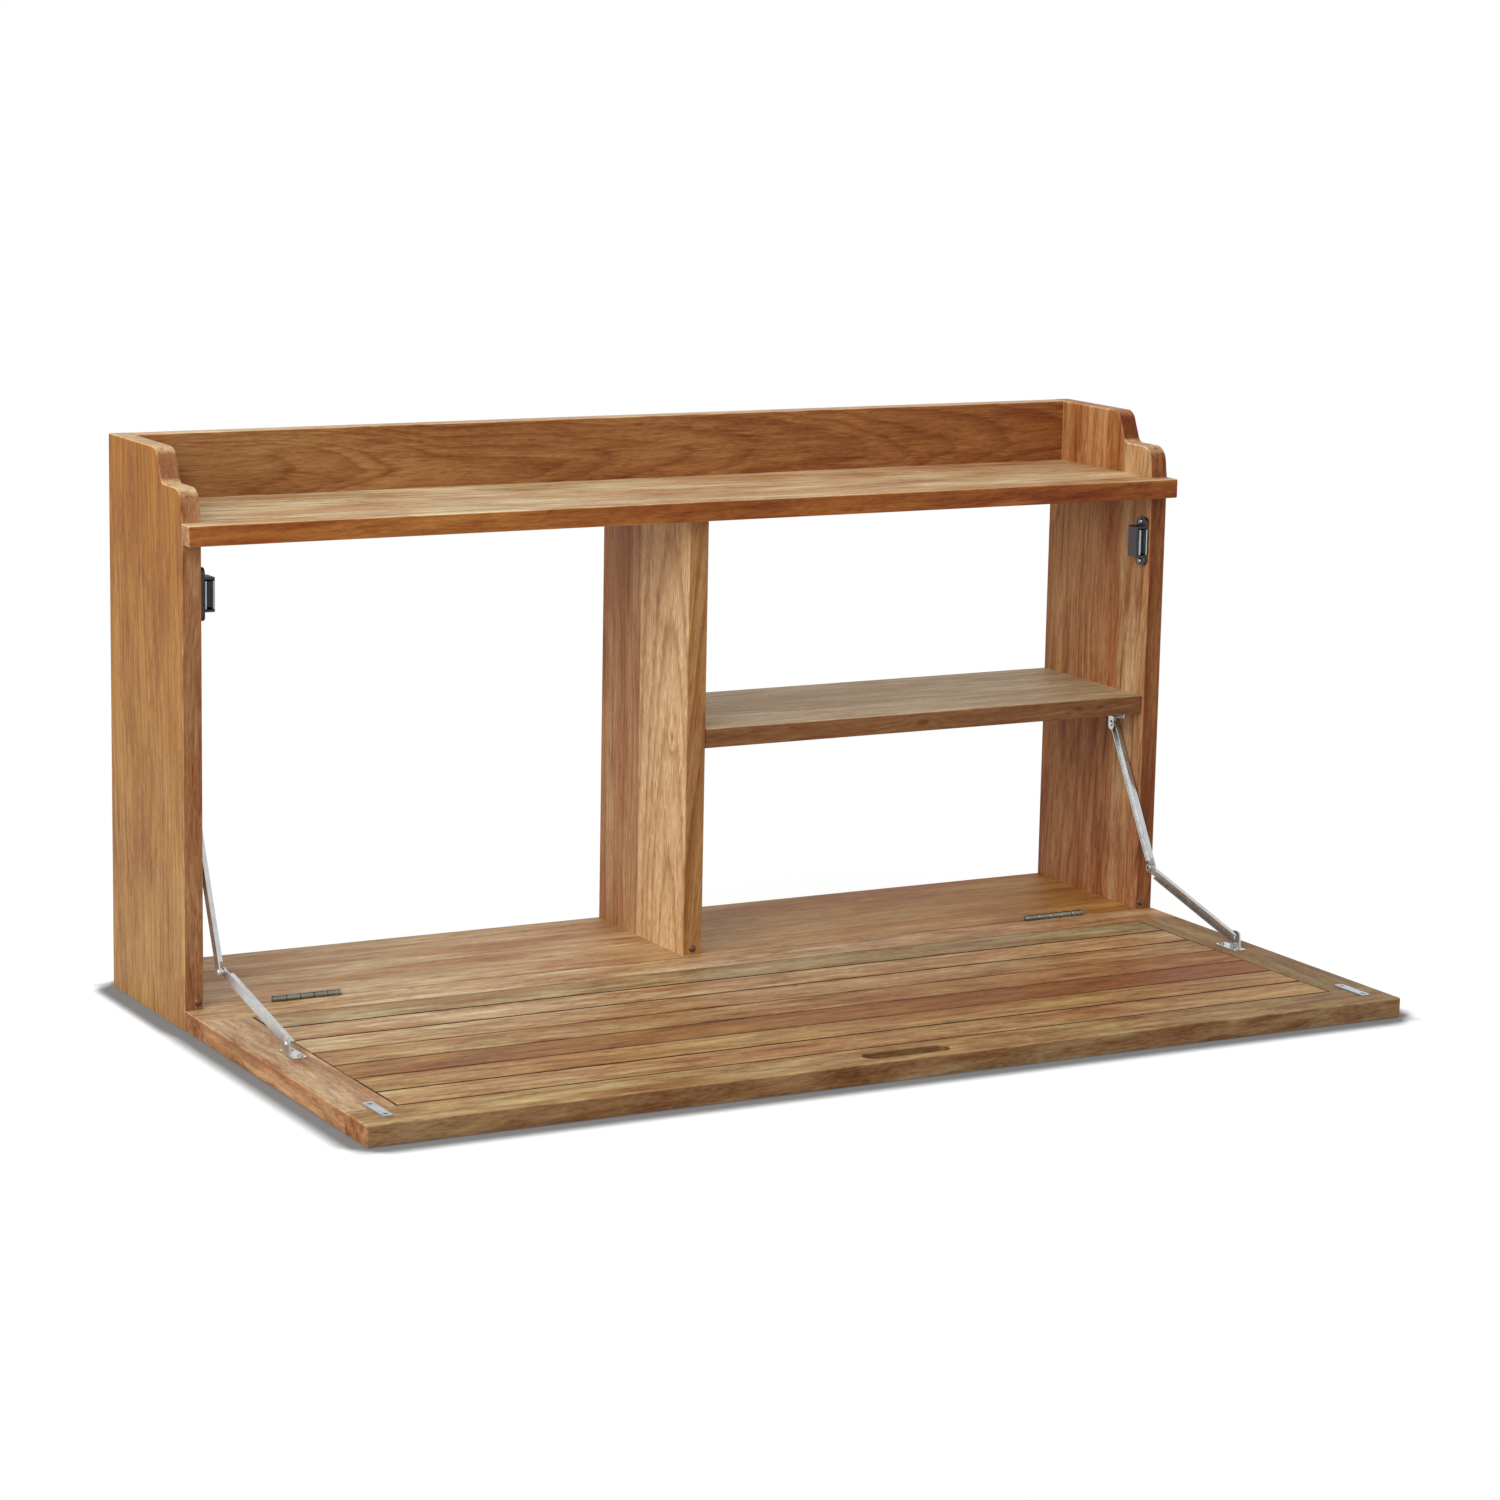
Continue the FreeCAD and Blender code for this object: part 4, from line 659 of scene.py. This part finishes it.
# %% [markdown]
# ## The screw tree
# The second half of the tree sets a copy of the screw on every point that it is given. Each point holds
# the way that its screw looks. A random turn, with a fixed seed, leaves the crosses at odd angles, as a
# driver does. The copies are made real at the end, because the export keeps meshes and no copies.

# %% Screw tree
TURN_SEED = 7


def on_seats(tree, shape, seats):
    """A copy of a shape on each seat, along its own way and turned at random about it."""
    way = add(tree, "GeometryNodeInputNamedAttribute", {"Name": "aim"}, data_type="FLOAT_VECTOR")
    aimed = add(tree, "FunctionNodeAlignRotationToVector", {"Vector": way}, axis="Z")
    angle = add(tree, "FunctionNodeRandomValue", {"Max": math.pi, "Seed": TURN_SEED}, out="Value")
    spin = add(tree, "ShaderNodeCombineXYZ", {"Z": angle})
    spun = add(tree, "FunctionNodeEulerToRotation", {0: spin})
    turned = add(tree, "FunctionNodeRotateRotation", {0: aimed, 1: spun}, rotation_space="LOCAL")
    copies = add(tree, "GeometryNodeInstanceOnPoints", {
        "Points": seats, "Instance": shape, "Rotation": turned})
    return add(tree, "GeometryNodeRealizeInstances", {"Geometry": copies})


def screw_tree(name, domed, finish):
    """Geometry Nodes tree with named sizes that sets screws of one finish on points."""
    tree = bpy.data.node_groups.new(name, "GeometryNodeTree")
    tree.interface.new_socket("Seats", in_out="INPUT", socket_type="NodeSocketGeometry")
    for label in SCREW_SIZES:
        tree.interface.new_socket(label, in_out="INPUT", socket_type="NodeSocketFloat")
    tree.interface.new_socket("Screws", in_out="OUTPUT", socket_type="NodeSocketGeometry")
    entry = tree.nodes.new("NodeGroupInput")
    seats, *sizes = entry.outputs[:1 + len(SCREW_SIZES)]
    screws = on_seats(tree, screw(tree, domed, *sizes), seats)
    finished = add(tree, "GeometryNodeSetMaterial", {"Geometry": screws, "Material": finish})
    add(tree, "NodeGroupOutput", {0: finished})
    return tree


flat_tree = screw_tree("flat_screws", domed=False, finish=nickel)
dull_tree = screw_tree("dull_flat_screws", domed=False, finish=grey_steel)
dome_tree = screw_tree("domed_screws", domed=True, finish=nickel)
print("screw trees:", [group.name for group in bpy.data.node_groups])

# %% [markdown]
# ## Seats of the screws
# The places of the screws could be typed in again, but the CAD nodes hold them already. A node of
# screws falls apart into separate solids, and each solid tells where its head lies, which way it
# points, and how wide and how long it is.

# %% Seats of the screws
SAME_PLACE = 0.001 * mm


def solids(node):
    """Corner lists of the separate solids of a CAD node."""
    work = bmesh.new()
    work.from_mesh(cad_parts[node].data)
    bmesh.ops.remove_doubles(work, verts=work.verts, dist=SAME_PLACE)
    reached = set()
    found = []
    for first in work.verts:
        if first in reached:
            continue
        reached.add(first)
        solid = [first]
        for vertex in solid:
            near = {edge.other_vert(vertex) for edge in vertex.link_edges} - reached
            reached |= near
            solid += near
        found.append([vertex.co.copy() for vertex in solid])
    work.free()
    return found


def measure(corners):
    """Head place, way, head radius and length of one turned screw."""
    low = Vector([min(c[n] for c in corners) for n in range(3)])
    high = Vector([max(c[n] for c in corners) for n in range(3)])
    extent = high - low
    axis = max(range(3), key=lambda n: extent[n])
    radius = max(extent[n] for n in range(3) if n != axis) / 2
    # The point of a screw is one corner, its head is a ring of corners
    lowest = [c for c in corners if c[axis] - low[axis] < SAME_PLACE]
    points_down = len(lowest) == 1
    place = (low + high) / 2
    place[axis] = high[axis] if points_down else low[axis]
    aim = Vector((0, 0, 0))
    aim[axis] = -1 if points_down else 1
    return place, aim, radius, extent[axis]


print("solids in the node of strike screws:", len(solids("strike_screws")))

# %% [markdown]
# ## Screws on their seats
# A mesh of bare points carries the tree as a modifier. The tree's result then becomes a plain mesh, so
# the piece no longer depends on the modifier. Each set of screws moves with the body that it is driven
# into and takes the place of the plain CAD screws.

# %% Screws on their seats
SHANK_RADIUS = 1.5 * mm
DOME_HEIGHT = 1.6 * mm
RECESS = 2.6 * mm


def set_screws(node, body, tree):
    """Screws with a cross recess in the place of a CAD node's plain ones."""
    rows = [measure(corners) for corners in solids(node)]
    _, _, radius, length = rows[0]
    raised = DOME_HEIGHT if tree is dome_tree else 0.0
    mesh = bpy.data.meshes.new(node + "_crossed")
    mesh.from_pydata([place + aim * raised for place, aim, _, _ in rows], [], [])
    ways = mesh.attributes.new("aim", "FLOAT_VECTOR", "POINT")
    for number, (_, aim, _, _) in enumerate(rows):
        ways.data[number].vector = aim
    screws = bpy.data.objects.new(node + "_crossed", mesh)
    bpy.context.scene.collection.objects.link(screws)
    setter = screws.modifiers.new("screws", "NODES")
    setter.node_group = tree
    # A flat head is a cone of 45 degrees down to the shank
    head_height = raised or radius - SHANK_RADIUS
    sizes = (radius, head_height, SHANK_RADIUS, length - raised, RECESS)
    for label, size in zip(SCREW_SIZES, sizes):
        setter[tree.interface.items_tree[label].identifier] = size
    evaluated = screws.evaluated_get(bpy.context.evaluated_depsgraph_get())
    plain = bpy.data.meshes.new_from_object(evaluated)
    screws.modifiers.remove(setter)
    screws.data = plain
    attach(screws, body)
    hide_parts(node)
    print(node, len(rows), "screws,", len(plain.polygons), "faces")


SCREWS = {
    "case": {"hinge_case_screws": flat_tree, "stay_case_screws": flat_tree, "hanger_screws": flat_tree,
             "catch_screws": dome_tree},
    "flap": {"hinge_flap_screws": flat_tree, "strike_screws": dull_tree, "stay_flap_screws": dome_tree},
}
for body, nodes in SCREWS.items():
    for node, tree in nodes.items():
        set_screws(node, body, tree)

# %% [markdown]
# ## The studio floor
# The desk stands on a pale floor in front of white. In a studio that is a roll of paper that curves up
# behind the object. Here one large flat square is enough, because it runs out into the white far behind
# the desk. It lies half a millimetre low, so that it never shares a face with the desk.

# %% Floor
FLOOR_HALF = 40.0
FLOOR_DROP = 0.5 * mm
floor_mesh = bpy.data.meshes.new("studio_floor")
corners = [(x * FLOOR_HALF, y * FLOOR_HALF, -FLOOR_DROP) for x, y in ((-1, -1), (1, -1), (1, 1), (-1, 1))]
floor_mesh.from_pydata(corners, [], [(0, 1, 2, 3)])
floor = bpy.data.objects.new("studio_floor", floor_mesh)
bpy.context.scene.collection.objects.link(floor)
print("floor width:", 2 * FLOOR_HALF, "m")

# %% [markdown]
# ## The paper of the floor
# More light could turn the floor white, but it would bleach the wood. So the paper takes the same light
# as the desk, which keeps its shadow, and adds a glow that only the camera, mirrors and glass see: it
# reads as white and sends no extra light back to the wood. The glow fades close to the desk, which
# deepens the contact shadow, and the paper turns into plain white further out.

# %% Floor paper
CONTACT_REACH = 30 * mm
FLOOR_MIDDLE = (0, -0.28, 0)
WHITE_FROM = 0.75
WHITE_BEYOND = 1.2


def seen_directly(tree):
    """1 for rays from the camera, from mirrors and through glass, 0 for light that bounces."""
    rays = [add(tree, "ShaderNodeLightPath", out=name)
            for name in ("Is Camera Ray", "Is Glossy Ray", "Is Transmission Ray")]
    pair = add(tree, "ShaderNodeMath", {0: rays[0], 1: rays[1]}, operation="MAXIMUM")
    return add(tree, "ShaderNodeMath", {0: pair, 1: rays[2]}, operation="MAXIMUM")


paper, tree = new_material("studio_paper")
# The paper that light bounces off, and the paper that the camera sees
matt = add(tree, "ShaderNodeBsdfDiffuse", {"Color": colour("#CCCCCC")})
shaded = add(tree, "ShaderNodeBsdfDiffuse", {"Color": colour("#707070")})
near = add(tree, "ShaderNodeAmbientOcclusion", {"Distance": CONTACT_REACH}, out="AO", samples=16)
contact = add(tree, "ShaderNodeMapRange", {
    "Value": near, "From Min": 0.84, "From Max": 0.94, "To Min": 0.10, "To Max": 0.92},
    interpolation_type="SMOOTHSTEP")
glow = add(tree, "ShaderNodeEmission", {"Color": colour("#FFFFFF"), "Strength": contact})
lit = add(tree, "ShaderNodeAddShader", {0: shaded, 1: glow})
white = add(tree, "ShaderNodeEmission", {"Color": colour("#FFFFFF"), "Strength": 1.0})
spot = add(tree, "ShaderNodeTexCoord", out="Object")
away = add(tree, "ShaderNodeVectorMath", {0: spot, 1: FLOOR_MIDDLE}, out="Value", operation="DISTANCE")
fade = add(tree, "ShaderNodeMapRange", {"Value": away, "From Min": WHITE_FROM, "From Max": WHITE_BEYOND},
           interpolation_type="SMOOTHSTEP")
seen = add(tree, "ShaderNodeMixShader", {0: fade, 1: lit, 2: white})
both = add(tree, "ShaderNodeMixShader", {0: seen_directly(tree), 1: matt, 2: seen})
add(tree, "ShaderNodeOutputMaterial", {"Surface": both})
floor_mesh.materials.append(paper)
print("contact shadow reaches", CONTACT_REACH / mm, "mm")

# %% [markdown]
# ## Light from all around
# The walls of a studio send light back into the shade. Walls could be built, but a world of even light
# does the same. It is white where it is looked at, and dimmer as light, which leaves room for a lamp.

# %% Air
AIR_LEVEL = 0.58
world = bpy.data.worlds.new("studio_air")
world.use_nodes = True
bpy.context.scene.world = world
tree = world.node_tree
tree.nodes.clear()
# The range ends at 1, so the air is white where it is looked at
level = add(tree, "ShaderNodeMapRange", {"Value": seen_directly(tree), "To Min": AIR_LEVEL})
air = add(tree, "ShaderNodeBackground", {"Color": colour("#FFFFFF"), "Strength": level})
add(tree, "ShaderNodeOutputWorld", {"Surface": air})
print("air light:", AIR_LEVEL)

# %% [markdown]
# ## The lamp
# In the photograph the tops and the left faces are bright, the fronts are darker, and no shadow has a
# hard edge. One large square lamp at the upper left gives that. A sun lamp would light the same faces,
# but with hard shadows. The power of the lamp is worked out from its distance, so that a matt surface
# that faces it shows a known share of its written colour.


# %% Lamp
def soft_lamp(name, place, aim, size, level):
    """Square lamp that gives a matt surface facing it the given share of its written colour."""
    data = bpy.data.lights.new(name, "AREA")
    data.size = size
    reach = Vector(aim) - Vector(place)
    data.energy = level * math.pi ** 2 * reach.length_squared
    lamp = bpy.data.objects.new(name, data)
    lamp.location = place
    lamp.rotation_euler = reach.to_track_quat("-Z", "Y").to_euler()
    bpy.context.scene.collection.objects.link(lamp)


desk_middle = (0, -0.25, 0.2)
soft_lamp("upper_left", place=(-2.5, -1.5, 1.8), aim=desk_middle, size=2.4, level=0.55)

# %% [markdown]
# ## The camera
# A camera can be set by eye, but this one was fitted to the edges of the boards in the photograph, so
# that the render can be laid over it. It stands about 3.65 m from the middle of the desk, to the left
# of it and a little above, with a long lens and a slight roll.

# %% Camera
camera_place = Vector((-1.714, -3.394, 0.894))
camera_turn = math.radians(-28.739)
camera_rise = math.radians(10.613)
camera_roll = math.radians(1.142)
lens = bpy.data.cameras.new("photo_camera")
lens.lens = 97.82
lens.sensor_width = 36.0
camera = bpy.data.objects.new("photo_camera", lens)
camera.location = camera_place
level_view = Matrix.Rotation(camera_turn, 3, "Z") @ Matrix.Rotation(math.pi / 2 - camera_rise, 3, "X")
camera.rotation_euler = (level_view @ Matrix.Rotation(camera_roll, 3, "Z")).to_euler()
bpy.context.scene.collection.objects.link(camera)
bpy.context.scene.camera = camera
bpy.context.scene.view_settings.view_transform = "Standard"
print("camera distance:", round((camera_place - Vector(desk_middle)).length, 2), "m")
